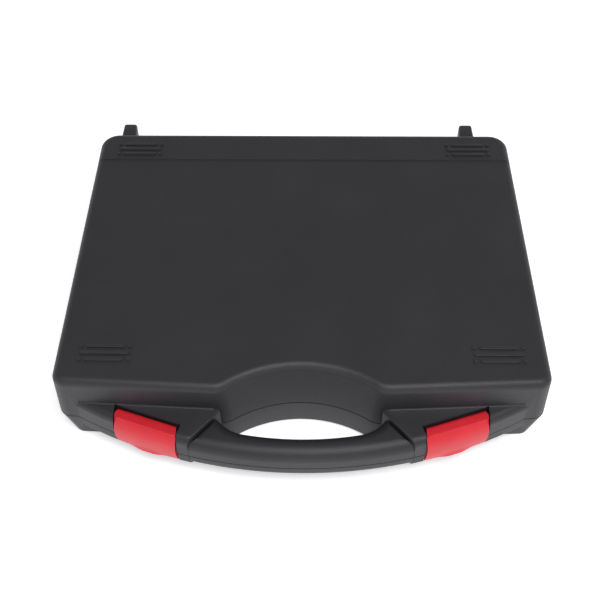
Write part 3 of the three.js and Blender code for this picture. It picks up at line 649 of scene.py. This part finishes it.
def latch(side):
    inner_top = LATCH_TOP - LATCH_PLATE
    barrel = sorted((-side * BARREL_INNER, side * BARREL_OUTER))
    flange = [(3.3, inner_top), (PIN_Y, inner_top - 1)]
    flange += [(PIN_Y, LATCH_TOP - 0.1), (3.4, LATCH_TOP - 0.15)]
    root = LATCH_PLATE - 0.5
    hook = [(root, HOOK_BOTTOM), (4, HOOK_BOTTOM), (4, HOOK_BOTTOM + 1.5), (root, HOOK_TOP)]
    limit = upright(skewed_outline(side, LATCH_HALF, BAY_LID_REAR), 0, HEIGHT)
    body = carve(
        latch_shell(),
        [
            along_x(flange, *barrel),
            rod_x(PIN_BARREL, *barrel, PIN_Y, PIN_Z, edge=0.3),
            along_x(hook, -HOOK_HALF, HOOK_HALF),
        ],
        [rod_x(PIN_BORE, -30, 30, PIN_Y, PIN_Z)],
        [soften(limit, 0.5)],
    )
    return bowed(transformed(body, latch_matrix(side)), side)


def catch_rib(side):
    low = (-HOOK_HALF, CATCH_FRONT, CATCH_BOTTOM)
    rib = soften(box(low, (HOOK_HALF, BAY_BASE_REAR + 0.5, CATCH_TOP)), 0.25, 2)
    return transformed(rib, latch_matrix(side))


# ---- hinges and feet


def knuckles(side, way):
    edge = HINGE_SPAN / 2
    ranges = [(-HINGE_INNER / 2, HINGE_INNER / 2)]
    if way < 0:
        ranges = [(-edge, HINGE_OUTER - edge), (edge - HINGE_OUTER, edge)]
    low, high = sorted((PARTING + way * 0.3, PARTING + way * HINGE_R))
    root = HINGE.y - 7
    web = [(root, low), (HINGE.y, low), (HINGE.y, high), (root, high)]
    middle = side * HINGE_X
    bodies = []
    for start, end in ranges:
        bodies.append(rod_x(HINGE_R, middle + start, middle + end, HINGE.y, PARTING, 40, 0.35))
        bodies.append(along_x(web, middle + start + 0.05, middle + end - 0.05))
    return bodies


def hinge_rod(side, r, length, edge=0.0):
    start = side * HINGE_X - length / 2
    return rod_x(r, start, start + length, HINGE.y, PARTING, 28, edge)


def foot(side, way):
    """Half a foot: the notch between the halves stops the open lid."""
    reach = FOOT_REACH
    if way > 0:
        profile = [(-7, 0.3), (0, 0.3), (reach, 13.8), (reach, 28), (7.8, 30), (-7, 30)]
    else:
        profile = [(-9, -18.7), (8.5, -18.7), (reach, -17.5), (reach, -13.8), (0, -0.3), (-9, -0.3)]
    points = [(HINGE.y + y, PARTING + z) for y, z in profile]
    rings = []
    for end in SIDES:
        # The sides close from the wall to the tip, more so on the side of the hinges.
        draft = FOOT_OUTER_DRAFT if end == side else FOOT_INNER_DRAFT
        x = FOOT_X[side] + FOOT_WIDTH * (end + 1) / 2
        rings.append([(x - end * draft * max(0, y - HINGE.y) / reach, y, z) for y, z in points])
    return soften(rings_solid(rings), FOOT_EDGE, 5)


# ---- shells


def stadium(x, y, half, r, inset):
    r -= inset
    right = arc(x + half, y, r, -math.pi / 2, math.pi / 2, 8)
    return right + arc(x - half, y, r, math.pi / 2, 1.5 * math.pi, 8)


def raised(x, y, length, width):
    """A low rib with round ends and steep sides on the band of the lid."""
    r = width / 2
    half = max(0.01, length / 2 - r)
    levels = [(BAND_Z - 0.4, 0), (HEIGHT - 0.1, 0.02), (HEIGHT - 0.03, 0.05), (HEIGHT, 0.12)]
    return loft([(z, stadium(x, y, half, r, inset)) for z, inset in levels])


def rib_group(side, row_y):
    middle = side * RIB_X
    ribs = [raised(middle, row_y, RIB_MIDDLE, RIB_WIDTH)]
    for row in SIDES:
        y = row_y + row * RIB_PITCH
        ribs.append(raised(middle, y, RIB_OUTER, RIB_WIDTH))
        for end in SIDES:
            ribs.append(raised(middle + end * RIB_DOT, y, 2 * RIB_DOT_R, 2 * RIB_DOT_R))
    return ribs


def upper_shell():
    inner_top = BAND_Z - PANEL_DROP - WALL + 0.1
    cavity = [(PARTING - 1, WALL, *FLARED), (inner_top - LID_FILLET, WALL)]
    for rise, inset in fillet(CAVITY_FILLET, 8):
        cavity.append((inner_top - CAVITY_FILLET + rise, WALL + inset))
    rebate_top = PARTING + TONGUE_HEIGHT + GAP
    rebate = [(z, TONGUE_INSET - GAP, *FLARED) for z in (PARTING - 1, rebate_top)]
    added, removed = [], [body_loft(cavity), body_loft(rebate)]
    for side in SIDES:
        added += [block_half(side, 1), cove(side), foot(side, 1), *knuckles(side, 1)]
        removed += block_cuts(side, 1)
        removed += [latch_bay(side, BAY_LID_REAR, PARTING - 1, BAY_TOP), bay_relief(side)]
        removed.append(pin_rod(side, PIN_BORE, PIN_LENGTH + 2 * GAP))
        removed.append(hinge_rod(side, HINGE_BORE, HINGE_SPAN + 2))
        for row_y in RIB_ROWS_Y:
            added += rib_group(side, row_y)
    return carve(lid_outside(), added, removed)


def pad(side, y):
    """A low pad under the base, below a group of ribs."""
    levels = []
    for z, inset in ((0, 0.4), (0.3, 0), (BASE_Z + 1, 0)):
        size = (PAD_LENGTH - 2 * inset, PAD_WIDTH - 2 * inset, PAD_R - inset)
        levels.append((z, rounded_rectangle(side * (RIB_X - PAD_SHIFT), y, *size)))
    return loft(levels)


def lower_shell():
    lean = (BASE_SIDE, BASE_RECESS)
    outside = [(BASE_Z, BASE_INSET + BASE_FILLET + 0.5, *lean)]
    for rise, inset in reversed(fillet(BASE_FILLET, 7)):
        outside.append((BASE_Z + BASE_FILLET - rise, BASE_INSET + inset, *lean))
    outside += [(BASE_Z + BASE_FILLET, BASE_INSET, *lean)]
    outside += [(PARTING - GAP / 2 - 0.3, 0, *FLARED), (PARTING - GAP / 2, 0.25, *FLARED)]
    tongue = [(PARTING - 1, TONGUE_INSET, *FLARED)]
    tongue.append((PARTING + TONGUE_HEIGHT - 0.3, TONGUE_INSET, *FLARED))
    tongue.append((PARTING + TONGUE_HEIGHT, TONGUE_INSET + 0.3, *FLARED))
    floor_z, wall = BASE_Z + WALL, BASE_INSET + WALL
    cavity = [(floor_z, wall + 1.6, *lean), (floor_z + 0.5, wall + 0.6, *lean)]
    cavity += [(floor_z + 2, wall, BASE_SIDE - 0.4, BASE_RECESS + 0.1)]
    cavity += [(PARTING, WALL, *FLARED), (PARTING + TONGUE_HEIGHT + 1, WALL, *FLARED)]
    added, removed = [body_loft(tongue)], [body_loft(cavity)]
    for side in SIDES:
        added += [block_half(side, -1), foot(side, -1), *knuckles(side, -1)]
        removed += block_cuts(side, -1)
        removed.append(latch_bay(side, BAY_BASE_REAR, BLOCK_BOTTOM - 2, PARTING + 1))
        removed.append(hinge_rod(side, HINGE_BORE, HINGE_SPAN + 2))
        added += [pad(side, y) for y in RIB_ROWS_Y]
    shell = carve(body_loft(outside), added, removed)
    return carve(shell, [catch_rib(side) for side in SIDES])


# ---- sockets and bars


def polygon(sides, flat_to_flat, x=0, y=0):
    r = flat_to_flat / 2 / math.cos(math.pi / sides)
    return arc(x, y, r, math.pi / sides, math.tau - math.pi / sides, sides - 1)


def grooves(r, depth, starts):
    """Shallow turned grooves in a band of radius r, as profile points."""
    points = []
    for at in starts:
        points += [(r, at), (r - depth, at + 0.2), (r - depth, at + 0.7), (r, at + 0.9)]
    return points


def shoulder(r, new_r, start, length, steps=8):
    """A smooth change of radius along a profile."""
    shares = (i / steps for i in range(1, steps + 1))
    return [(r + (new_r - r) * smooth_step(share), start + length * share) for share in shares]


def socket(node):
    """One socket: turned steps, two grooves, a square hole below and a hexagon above."""
    low, high = node_box(node)
    x, y, _ = node_middle(node)
    size = int(node.removeprefix("socket_").removesuffix("mm"))
    mouth = 1.2 * size + 3
    outer, tip = max(17, mouth) / 2, mouth / 2
    length = high.z - low.z
    profile = [(0, 0), (outer - 0.9, 0), (outer - 0.5, 0.12), (outer - 0.15, 0.45), (outer, 0.9)]
    profile += grooves(outer, 0.28, (3.2, 8.9)) + [(outer, 12.3)]
    if outer - tip > 0.05:
        profile += shoulder(outer, tip, 12.3, 3.2)
    profile += [(tip, length - 0.8), (tip - 0.12, length - 0.35), (tip - 0.42, length - 0.06)]
    profile += [(tip - 0.7, length), (0, length)]
    shape = turned(profile, (x, y, low.z), 64)
    hexagon = size + 0.15
    bore = min(size, DRIVE_HOLE) / 2 - 0.6
    hex_r = hexagon / 2 / math.cos(math.pi / 6)
    square_r = DRIVE_HOLE / math.sqrt(2)
    start, end = length - 0.55, length + 0.5
    holes = [
        upright(polygon(4, DRIVE_HOLE, x, y), low.z - 1, low.z + 11),
        upright(polygon(6, hexagon, x, y), low.z + 15, high.z + 1),
        rod(bore, low.z - 2, high.z + 2, (x, y), 32),
        turned([(0, start), (hex_r - 0.55, start), (hex_r + 0.5, end), (0, end)], (x, y, low.z)),
    ]
    if square_r + 0.3 < outer - 0.9:
        lead_in = [(0, -0.5), (square_r + 0.3, -0.5), (square_r - 0.7, 0.5), (0, 0.5)]
        holes.append(turned(lead_in, (x, y, low.z)))
    return carve(shape, remove=holes)


def extension_bar(node):
    low, high = node_box(node)
    _, y, z = node_middle(node)
    length = high.x - low.x
    female, shaft, neck = 8.5, 5.6, 6.2
    profile = [(0, 0), (female - 0.8, 0), (female - 0.2, 0.3), (female, 0.9)]
    profile += grooves(female, 0.3, (4, 14.6)) + [(female, 16.8)]
    profile += shoulder(female, shaft, 16.8, 6.2) + [(shaft, length - 22)]
    profile += shoulder(shaft, neck, length - 22, 3, 4)
    profile += [(neck, length - 12.5), (neck - 0.5, length - 12), (0, length - 12)]
    shape = turned(profile, (low.x, y, z), along="X")
    half = DRIVE / 2
    square = soften(box((high.x - 14, y - half, z - half), (high.x, y + half, z + half)), 0.7, 2)
    ball = [(0, -1.5), (0.8, -1.25), (1.3, -0.7), (1.5, 0), (1.3, 0.7), (0.8, 1.25), (0, 1.5)]
    ball = turned(ball, (high.x - 5, y, z + half - 0.7), 20)
    half = DRIVE_HOLE / 2
    hole = box((low.x - 1, y - half, z - half), (low.x + 11, y + half, z + half))
    return carve(shape, [square, ball], [hole])


# ---- ratchet


def at_head(points):
    return [(RATCHET.x + x, RATCHET.y + y) for x, y in points]


def head_outline(r, neck_x, neck_half):
    """Pear-shaped head that flows into the neck."""
    start = math.radians(46)
    x0, y0 = r * math.cos(start), r * math.sin(start)
    sweep = []
    for i in range(1, 15):
        t = i / 15
        x = x0 + (neck_x - x0) * t
        # Leaves the round along its tangent and arrives at the neck level.
        y = neck_half + (y0 - neck_half) * (1 - t) ** 2.2
        sweep.append((x, y))
    rim = arc(0, 0, r, start, math.tau - start, 44)
    lower = [(x, -y) for x, y in sweep]
    return rim + lower + [(neck_x, -neck_half), (neck_x, neck_half)] + sweep[::-1]


def ratchet_body():
    x, y = RATCHET.xy
    top = COVER_Z - GAP
    levels = [(HEAD_BOTTOM, 1.2), (HEAD_BOTTOM + 0.35, 0.35), (HEAD_BOTTOM + 1.2, 0)]
    levels += [(top - 0.3, 0), (top, 0.3)]
    head = loft([(z, at_head(head_outline(HEAD_R - e, NECK_X, NECK_HALF - e))) for z, e in levels])
    shank = soften(box((x + 30, y - 6, GRIP_Z - 4.5), (x + 64, y + 6, GRIP_Z + 4)), 1.6, 4)
    core = rod_x(GRIP_BORE - GAP, x + 62, x + 166, y, GRIP_Z)
    holes = [
        rod(CHAMBER_R, CHAMBER_Z, top + 1, (x, y), 64),
        rod(BOSS_R + GAP, HEAD_BOTTOM - 1, top, (x, y)),
        box((x + 9, y - 6.6, CHAMBER_Z), (x + 25.5, y + 6.6, top + 1)),
    ]
    holes += [rod(SCREW_BORE, HEAD_BOTTOM + 3, top + 1, screw_centre(side), 16) for side in SIDES]
    panel = rounded_rectangle(x + 47, y, 22, 5.4, 2.7, 8)
    holes.append(loft([(GRIP_Z + 3.5, panel), (GRIP_Z + 5, panel)]))
    return carve(head, [shank, core], holes)


def screw_centre(side):
    return RATCHET.x + SCREW_X, RATCHET.y + side * SCREW_Y


def ratchet_cover():
    levels = [(COVER_Z, 0), (HEAD_TOP - 0.5, 0), (HEAD_TOP - 0.12, 0.2), (HEAD_TOP, 0.55)]
    reach = NECK_X - 3
    sizes = [(HEAD_R - 0.6 - e, reach - e, NECK_HALF - e) for _, e in levels]
    plate = loft([(z, at_head(head_outline(*size))) for (z, _), size in zip(levels, sizes)])
    through = (COVER_Z - 1, HEAD_TOP + 1)
    holes = [rod(4.9, *through, RATCHET.xy, 40), rod(PIVOT_BORE, *through, LEVER.xy, 32)]
    holes += [rod(SCREW_BORE, *through, screw_centre(side), 20) for side in SIDES]
    return carve(plate, remove=holes)


def cover_screw(side):
    x, y = screw_centre(side)
    start, top = HEAD_BOTTOM + 4, HEAD_TOP
    profile = [(0, start), (1, start), (1, top + 0.2), (2.1, top + 0.2), (2.2, top + 0.4)]
    profile += [(1.9, top + 0.85), (1.2, top + 1.15), (0, top + 1.3)]
    slots = [
        box((x - a, y - b, top + 0.75), (x + a, y + b, top + 2)) for a, b in ((3, 0.3), (0.3, 3))
    ]
    return carve(turned(profile, (x, y, 0), 28), remove=slots)


def drive_gear():
    low, high = node_box("drive_gear")
    teeth, r, depth = 36, 11.2, 0.9
    outline = []
    for i in range(teeth):
        for share, radius in ((0.12, r - depth), (0.38, r), (0.62, r), (0.88, r - depth)):
            angle = math.tau * (i + share - 0.5) / teeth
            outline.append((radius * math.cos(angle), radius * math.sin(angle)))
    levels = ((low.z, 0.8), (low.z + 0.8, 0), (14.6, 0))
    square = loft([(z, at_head(polygon(4, DRIVE - 2 * e))) for z, e in levels])
    boss = rod(BOSS_R, HEAD_BOTTOM - 0.5, 17.8, RATCHET.xy, edge=0.3)
    bore = rod(2.4, low.z + 2, high.z + 1, RATCHET.xy, 24)
    wheel = upright(at_head(outline), 16.8, high.z)
    return carve(wheel, [boss, soften(square, 0.5, 2)], [bore])


def release_button():
    low, _ = node_box("release_button")
    profile = [(0, low.z), (2, low.z), (2, 26), (4.2, 26), (4.2, 27.2), (4.05, 27.6)]
    profile += [(3.7, 27.85), (3.2, 28), (2.2, 27.75), (1.1, 27.6), (0, 27.55)]
    return turned(profile, (*RATCHET.xy, 0), 40)


def reversing_lever():
    low, high = node_box("reversing_lever")
    bottom = HEAD_TOP + GAP

    def outline(e):
        tip = arc(13, 0, 2.4 - e, -math.pi / 2.4, math.pi / 2.4, 12)
        return arc(0, 0, LEVER_R - e, math.pi / 3, 5 * math.pi / 3, 24) + tip

    levels = [(bottom, 0.2), (bottom + 0.2, 0)]
    levels += [(high.z - 0.7, 0), (high.z - 0.2, 0.22), (high.z, 0.7)]
    plate = loft([(z, outline(e)) for z, e in levels])
    cuts = []
    for x in (8.6, 10.3, 12, 13.7):
        cuts.append(box((x, -3, high.z - 0.35), (x + 0.6, 3, high.z + 1)))
    lever = carve(plate, [rod(PIVOT_R, low.z, bottom + 0.5, segments=28)], cuts)
    return transformed(lever, LEVER_PLACE)


def pawl():
    low, high = node_box("pawl")
    outline = arc(0, 0, LEVER_R, -math.pi / 1.7, math.pi / 1.7, 24)
    outline += [(-6.6, 4.2), (-5.4, 0), (-6.6, -4.2)]
    bore = rod(PIVOT_BORE, low.z - 1, high.z + 1, segments=28)
    return transformed(carve(upright(outline, low.z, high.z), remove=[bore]), LEVER_PLACE)


def ratchet_grip():
    """Soft grip with a waist, a thumb stop and turned grip rings."""
    low, high = node_box("ratchet_grip")
    length = high.x - low.x
    waist = ((0, 9), (3, 10.2), (11, 10.6), (21, 9.2), (41, 11.2))
    stations = (*waist, (68, 12), (89, 10.8), (102, 12.4), (length, 12))
    ring_start, ring_end, ring_pitch, ring_depth, edge_r = 34, 84, 5, 0.45, 1.4
    profile = [(GRIP_BORE, 0)]
    steps = 150
    for i in range(steps + 1):
        at = length * i / steps
        for (a, ra), (b, rb) in zip(stations, stations[1:]):
            if a <= at <= b:
                r = ra + (rb - ra) * smooth_step((at - a) / (b - a))
        if ring_start < at < ring_end:
            r -= ring_depth * (0.5 + 0.5 * math.cos(math.tau * at / ring_pitch)) ** 3
        from_end = min(at, length - at)
        if from_end < edge_r:
            r -= edge_r - math.sqrt(max(0, edge_r**2 - (edge_r - from_end) ** 2))
        profile.append((r, at))
    profile += [(GRIP_BORE, length), (GRIP_BORE, 0)]
    return turned(profile, (low.x, RATCHET.y, GRIP_Z), 56, "X")


def grip_end_cap():
    low, high = node_box("grip_end_cap")
    length = high.x - low.x
    profile = [(0, 0), (5, 0), (5, 8.3), (11.2, 8.3), (11.6, 8.7), (11.5, 10.2), (11.1, 11.8)]
    profile += [(10.2, 13), (8.6, 13.9), (6.2, 14.3), (5.4, 14.1), (4.9, 13.7), (3.9, 13.7)]
    profile += [(3.3, length - 0.3), (0, length)]
    return turned(profile, (low.x, RATCHET.y, GRIP_Z), along="X")


# ---- foam


def trough(x0, x1, y, half, floor):
    """A long pocket with round corners."""
    outline = rounded_rectangle((x0 + x1) / 2, y, x1 - x0, 2 * half, 4)
    return upright(outline, floor, POCKET_TOP)


def foam_pockets(floors):
    """The shared pocket shapes of both tray layers, cut to their floors."""
    x, y = RATCHET.xy
    floor = floors["ratchet"]
    head = at_head(head_outline(HEAD_R + 0.9, 40, 8.2))
    cuts = [upright(head, floor, POCKET_TOP)]
    cuts += [trough(x + 30, x + 68, y, 8.2, floor), trough(x + 62, x + 183, y, 13.2, floor)]
    for node in BAR_NODES:
        low, high = node_box(node)
        cuts.append(trough(low.x - 1, high.x + 1, node_middle(node).y, 9.2, floors["bar"]))
    if "compartment" in floors:
        size = (COMPARTMENT_WIDTH, COMPARTMENT_DEPTH, 5)
        for side in SIDES:
            outline = rounded_rectangle(side * COMPARTMENT_X, COMPARTMENT_Y, *size)
            cuts.append(upright(outline, floors["compartment"], POCKET_TOP))
    for node in SOCKET_NODES:
        low, high = node_box(node)
        r = (high.y - low.y) / 2 + 0.5
        cuts.append(rod(r, floors["socket"], POCKET_TOP, node_middle(node).xy, 40))
    return cuts


def tray_foam(node, insets, floors):
    low, high = node_box(node)
    edge = 0.5
    inset, side, recess = insets
    levels = [(low.z, *insets), (high.z - edge, *insets), (high.z, inset + edge, side, recess)]
    return carve(body_loft(levels), remove=foam_pockets(floors))


def lid_foam():
    """Egg-crate sheet: rounded peaks hang down towards the tools."""
    low, high = node_box("lid_foam")
    pitch, cell, depth, margin = 22.0, 2.2, 6.0, 4
    columns = math.ceil((high.x - low.x + 2 * margin) / cell)
    rows = math.ceil((high.y - low.y + 2 * margin) / cell)
    stations = [(columns / 2 - column) * cell for column in range(columns + 1)]
    rings = []
    for row in range(rows + 1):
        y = low.y - margin + row * cell
        ring = [(stations[-1], y, high.z + 1), (stations[0], y, high.z + 1)]
        for x in stations:
            wave = math.cos(math.tau * x / pitch) * math.cos(math.tau * y / pitch)
            ring.append((x, y, low.z + depth * (0.5 - 0.5 * wave)))
        rings.append(ring)
    outline = body_loft([(low.z - 1, 3.4), (46, 3.4), (high.z, 7)])
    return carve(outline, keep=[rings_solid(rings)])


# ---- materials


class Recipe:
    """A Principled material with short calls for the nodes it needs."""

    def __init__(self, name, metallic=0.0, specular=0.5):
        self.material = bpy.data.materials.new(name)
        self.material.use_nodes = True
        self.nodes = self.material.node_tree.nodes
        self.links = self.material.node_tree.links
        self.inputs = self.nodes["Principled BSDF"].inputs
        self.inputs["Metallic"].default_value = metallic
        self.inputs["Specular IOR Level"].default_value = specular
        self.place = self.nodes.new("ShaderNodeTexCoord").outputs["Object"]

    def node(self, kind, settings, **values):
        """A node with some of its attributes and inputs set."""
        node = self.nodes.new(kind)
        for key, value in values.items():
            setattr(node, key, value)
        for key, value in settings.items():
            node.inputs[key].default_value = value
        return node

    def noise(self, size_mm, detail=2.0, roughness=0.5, stretch=(1, 1, 1)):
        """Noise whose features are about size_mm across."""
        settings = {"Scale": 1 / (size_mm * MM), "Detail": detail, "Roughness": roughness}
        texture = self.node("ShaderNodeTexNoise", settings)
        mapping = self.node("ShaderNodeMapping", {"Scale": stretch})
        self.links.new(self.place, mapping.inputs["Vector"])
        self.links.new(mapping.outputs["Vector"], texture.inputs["Vector"])
        return texture.outputs["Fac"]

    def cells(self, size_mm):
        texture = self.node("ShaderNodeTexVoronoi", {"Scale": 1 / (size_mm * MM)})
        self.links.new(self.place, texture.inputs["Vector"])
        return texture.outputs["Distance"]

    def ramp(self, value, low, high, start=0.0, end=1.0):
        """Maps a value from a range to another."""
        settings = {"From Min": low, "From Max": high, "To Min": start, "To Max": end}
        node = self.node("ShaderNodeMapRange", settings)
        self.links.new(value, node.inputs["Value"])
        return node.outputs["Result"]

    def color(self, value, low, high, first, second):
        """Colours the surface from first to second as the value goes from low to high."""
        share = self.ramp(value, low, high)
        node = self.node("ShaderNodeMix", {6: (*first, 1), 7: (*second, 1)}, data_type="RGBA")
        self.links.new(share, node.inputs[0])
        self.links.new(node.outputs[2], self.inputs["Base Color"])

    def rough(self, value, low, high, start, end):
        """Roughness from start to end as the value goes from low to high."""
        self.links.new(self.ramp(value, low, high, start, end), self.inputs["Roughness"])

    def bump(self, *layers):
        """Stacks (height output, depth in mm) layers on the normal and ends the recipe."""
        below = None
        for height, depth in layers:
            node = self.node("ShaderNodeBump", {"Strength": 1, "Distance": depth * MM})
            self.links.new(height, node.inputs["Height"])
            if below:
                self.links.new(below, node.inputs["Normal"])
            below = node.outputs["Normal"]
        self.links.new(below, self.inputs["Normal"])
        return self.material


def shell_plastic():
    """Charcoal polypropylene from a spark-eroded mould."""
    recipe = Recipe("charcoal_polypropylene", specular=0.45)
    grain = recipe.noise(0.75, 3, 0.6)
    pits = recipe.cells(0.8)
    cloud = recipe.noise(38, 3, 0.5)
    recipe.color(cloud, 0.3, 0.7, (0.0175, 0.0172, 0.021), (0.0215, 0.0212, 0.0255))
    recipe.rough(grain, 0.25, 0.75, 0.44, 0.58)
    return recipe.bump((pits, 0.02), (grain, 0.1))


def red_plastic(name):
    recipe = Recipe(name)
    cloud = recipe.noise(14, 2)
    grain = recipe.noise(0.4, 3, 0.6)
    recipe.color(cloud, 0.3, 0.7, (0.57, 0.009, 0.019), (0.63, 0.012, 0.026))
    recipe.rough(grain, 0.3, 0.7, 0.36, 0.48)
    return recipe.bump((grain, 0.03))


def foam(name, dark, light):
    """Cut closed-cell foam: fine cells with open pores."""
    recipe = Recipe(name, specular=0.25)
    cell = recipe.cells(0.7)
    pores = recipe.cells(2.3)
    cloud = recipe.noise(9, 3, 0.6)
    recipe.color(cloud, 0.25, 0.75, dark, light)
    recipe.rough(cell, 0.0, 0.6, 0.82, 0.97)
    return recipe.bump((cell, 0.18), (recipe.ramp(pores, 0.0, 0.25), 0.25))


def chrome():
    recipe = Recipe("satin_chrome", 1.0)
    brushed = recipe.noise(0.35, 2, 0.6, (0.12, 0.12, 1.6))
    smudge = recipe.noise(11, 4, 0.6)
    recipe.color(smudge, 0.3, 0.7, (0.58, 0.59, 0.61), (0.66, 0.67, 0.68))
    recipe.rough(smudge, 0.3, 0.7, 0.15, 0.27)
    return recipe.bump((brushed, 0.006))


def dark_steel():
    recipe = Recipe("phosphated_steel", 1.0)
    grain = recipe.noise(0.3, 3, 0.6)
    wear = recipe.noise(4, 3, 0.6)
    recipe.color(wear, 0.35, 0.7, (0.16, 0.16, 0.17), (0.3, 0.3, 0.31))
    recipe.rough(wear, 0.3, 0.7, 0.45, 0.3)
    return recipe.bump((grain, 0.012))


def wire(name, tone):
    recipe = Recipe(name, 1.0)
    recipe.inputs["Base Color"].default_value = (tone, tone, tone * 1.04, 1)
    drawn = recipe.noise(0.25, 2, 0.5, (0.08, 1, 1))
    recipe.rough(drawn, 0.3, 0.7, 0.24, 0.36)
    return recipe.bump((drawn, 0.006))


def grip_rubber():
    recipe = Recipe("soft_grip")
    grain = recipe.noise(0.45, 3, 0.6)
    cloud = recipe.noise(16, 2)
    recipe.color(cloud, 0.3, 0.7, (0.017, 0.017, 0.019), (0.026, 0.026, 0.028))
    recipe.rough(grain, 0.3, 0.7, 0.55, 0.72)
    return recipe.bump((grain, 0.04))


# ---- the set in its case


def build_case():
    plastic, red = shell_plastic(), red_plastic("red_latch_plastic")
    bright_wire, black_wire = wire("drawn_wire", 0.5), wire("blackened_wire", 0.03)
    show(upper_shell(), "upper_shell", plastic)
    show(lower_shell(), "lower_shell", plastic)
    show(handle_half(1), "handle_upper_half", plastic)
    show(handle_half(-1), "handle_lower_half", plastic)
    for side in SIDES:
        name = SIDE_NAMES[side]
        show(latch(side), f"latch_{name}", red)
        show(pin_rod(side, PIN_R, PIN_LENGTH, 0.2), f"latch_pin_{name}", black_wire)
        show(hinge_rod(side, HINGE_PIN_R, HINGE_SPAN, 0.3), f"hinge_pin_{name}", bright_wire)


def build_foam():
    black = foam("black_foam", (0.012, 0.012, 0.013), (0.022, 0.022, 0.024))
    red = foam("red_foam", (0.33, 0.012, 0.016), (0.42, 0.02, 0.024))
    through = {"ratchet": 0, "bar": 0, "compartment": 0, "socket": 0}
    floors = {"ratchet": 6.6, "bar": 8, "socket": 5}
    lower = tray_foam("tray_foam_lower", (5.3, 2.8, -1.8), floors)
    lower = carve(lower, remove=[rod(9, 0, 30, RATCHET.xy, 40)])  # room for the drive square
    upper = tray_foam("tray_foam_upper", (3.5, 1, -1.4), through)
    layers = [
        show(lower, "tray_foam_lower", red),
        show(upper, "tray_foam_upper", black),
        show(lid_foam(), "lid_foam", black, math.radians(50)),
    ]


def build_tools():
    bright, steel = chrome(), dark_steel()
    for node in SOCKET_NODES:
        show(socket(node), node, bright)
    for node in BAR_NODES:
        show(extension_bar(node), node, bright)
    show(ratchet_body(), "ratchet_body", bright)
    show(ratchet_cover(), "ratchet_cover", bright)
    show(cover_screw(-1), "cover_screw_front", steel)
    show(cover_screw(1), "cover_screw_rear", steel)
    show(drive_gear(), "drive_gear", steel)
    show(release_button(), "release_button", steel)
    show(reversing_lever(), "reversing_lever", steel)
    show(pawl(), "pawl", steel)
    show(ratchet_grip(), "ratchet_grip", grip_rubber())
    show(grip_end_cap(), "grip_end_cap", red_plastic("red_cap_plastic"))


# ---- floor, light and camera

# Metres, and strengths of glow near the case and far from it.
FLOOR_HALF = 12.0
GLOW_DISTANCE, GLOW_STRENGTH = (0.3, 1.6), (0.45, 0.75)
SKY_RISE, SKY_STRENGTH = (0.05, 0.75), (1.0, 0.18)


def build_floor():
    half = FLOOR_HALF
    mesh = bpy.data.meshes.new("floor")
    corners = [(-half, -half, 0), (half, -half, 0), (half, half, 0), (-half, half, 0)]
    mesh.from_pydata(corners, [], [(0, 1, 2, 3)])
    floor = link("floor", mesh)
    recipe = Recipe("pale_floor", specular=0.1)
    recipe.inputs["Roughness"].default_value = 0.85
    tone = recipe.noise(400, 2)
    recipe.color(tone, 0.3, 0.7, (0.9, 0.9, 0.9), (0.92, 0.92, 0.92))
    recipe.inputs["Emission Color"].default_value = (0.98, 0.98, 1, 1)
    # The floor glows more away from the case, where the key light doesn't reach.
    distance = recipe.node("ShaderNodeVectorMath", {}, operation="LENGTH")
    recipe.links.new(recipe.place, distance.inputs[0])
    glow = recipe.ramp(distance.outputs["Value"], *GLOW_DISTANCE, *GLOW_STRENGTH)
    recipe.links.new(glow, recipe.inputs["Emission Strength"])
    floor.data.materials.append(recipe.material)


def area_light(name, place, target, size, power):
    data = bpy.data.lights.new(name, "AREA")
    data.shape = "RECTANGLE"
    data.size, data.size_y = size
    data.energy = power
    lamp = link(name, data)
    lamp.location = place
    lamp.rotation_euler = (Vector(target) - Vector(place)).to_track_quat("-Z", "Y").to_euler()


def build_light():
    scene = bpy.context.scene
    scene.view_settings.view_transform = "Standard"
    scene.world = bpy.data.worlds.new("studio")
    scene.world.use_nodes = True
    tree = scene.world.node_tree
    background = tree.nodes["Background"]
    background.inputs["Color"].default_value = (1, 1, 1, 1)
    # The sky is bright near the horizon and dims towards the top.
    direction = tree.nodes.new("ShaderNodeTexCoord").outputs["Generated"]
    height = tree.nodes.new("ShaderNodeSeparateXYZ")
    fade = tree.nodes.new("ShaderNodeMapRange")
    fade.interpolation_type = "SMOOTHSTEP"
    for name, value in zip(("From Min", "From Max", "To Min", "To Max"), SKY_RISE + SKY_STRENGTH):
        fade.inputs[name].default_value = value
    tree.links.new(direction, height.inputs["Vector"])
    tree.links.new(height.outputs["Z"], fade.inputs["Value"])
    tree.links.new(fade.outputs["Result"], background.inputs["Strength"])
    area_light("key_softbox", (0.2, -0.5, 1.25), (0, 0, 0.03), (0.9, 0.7), 14)


def build_camera():
    """Camera in front of the handle, looking down on the case."""
    data = bpy.data.cameras.new("camera")
    data.lens = 55.92
    data.sensor_width = 36
    camera = link("camera", data)
    camera.location = (0.00352, -0.3822, 0.47337)
    camera.rotation_euler = [math.radians(angle) for angle in (39.526, 0.212, 0.536)]
    bpy.context.scene.camera = camera


build_case()
build_foam()
build_tools()
build_floor()
build_light()
build_camera()
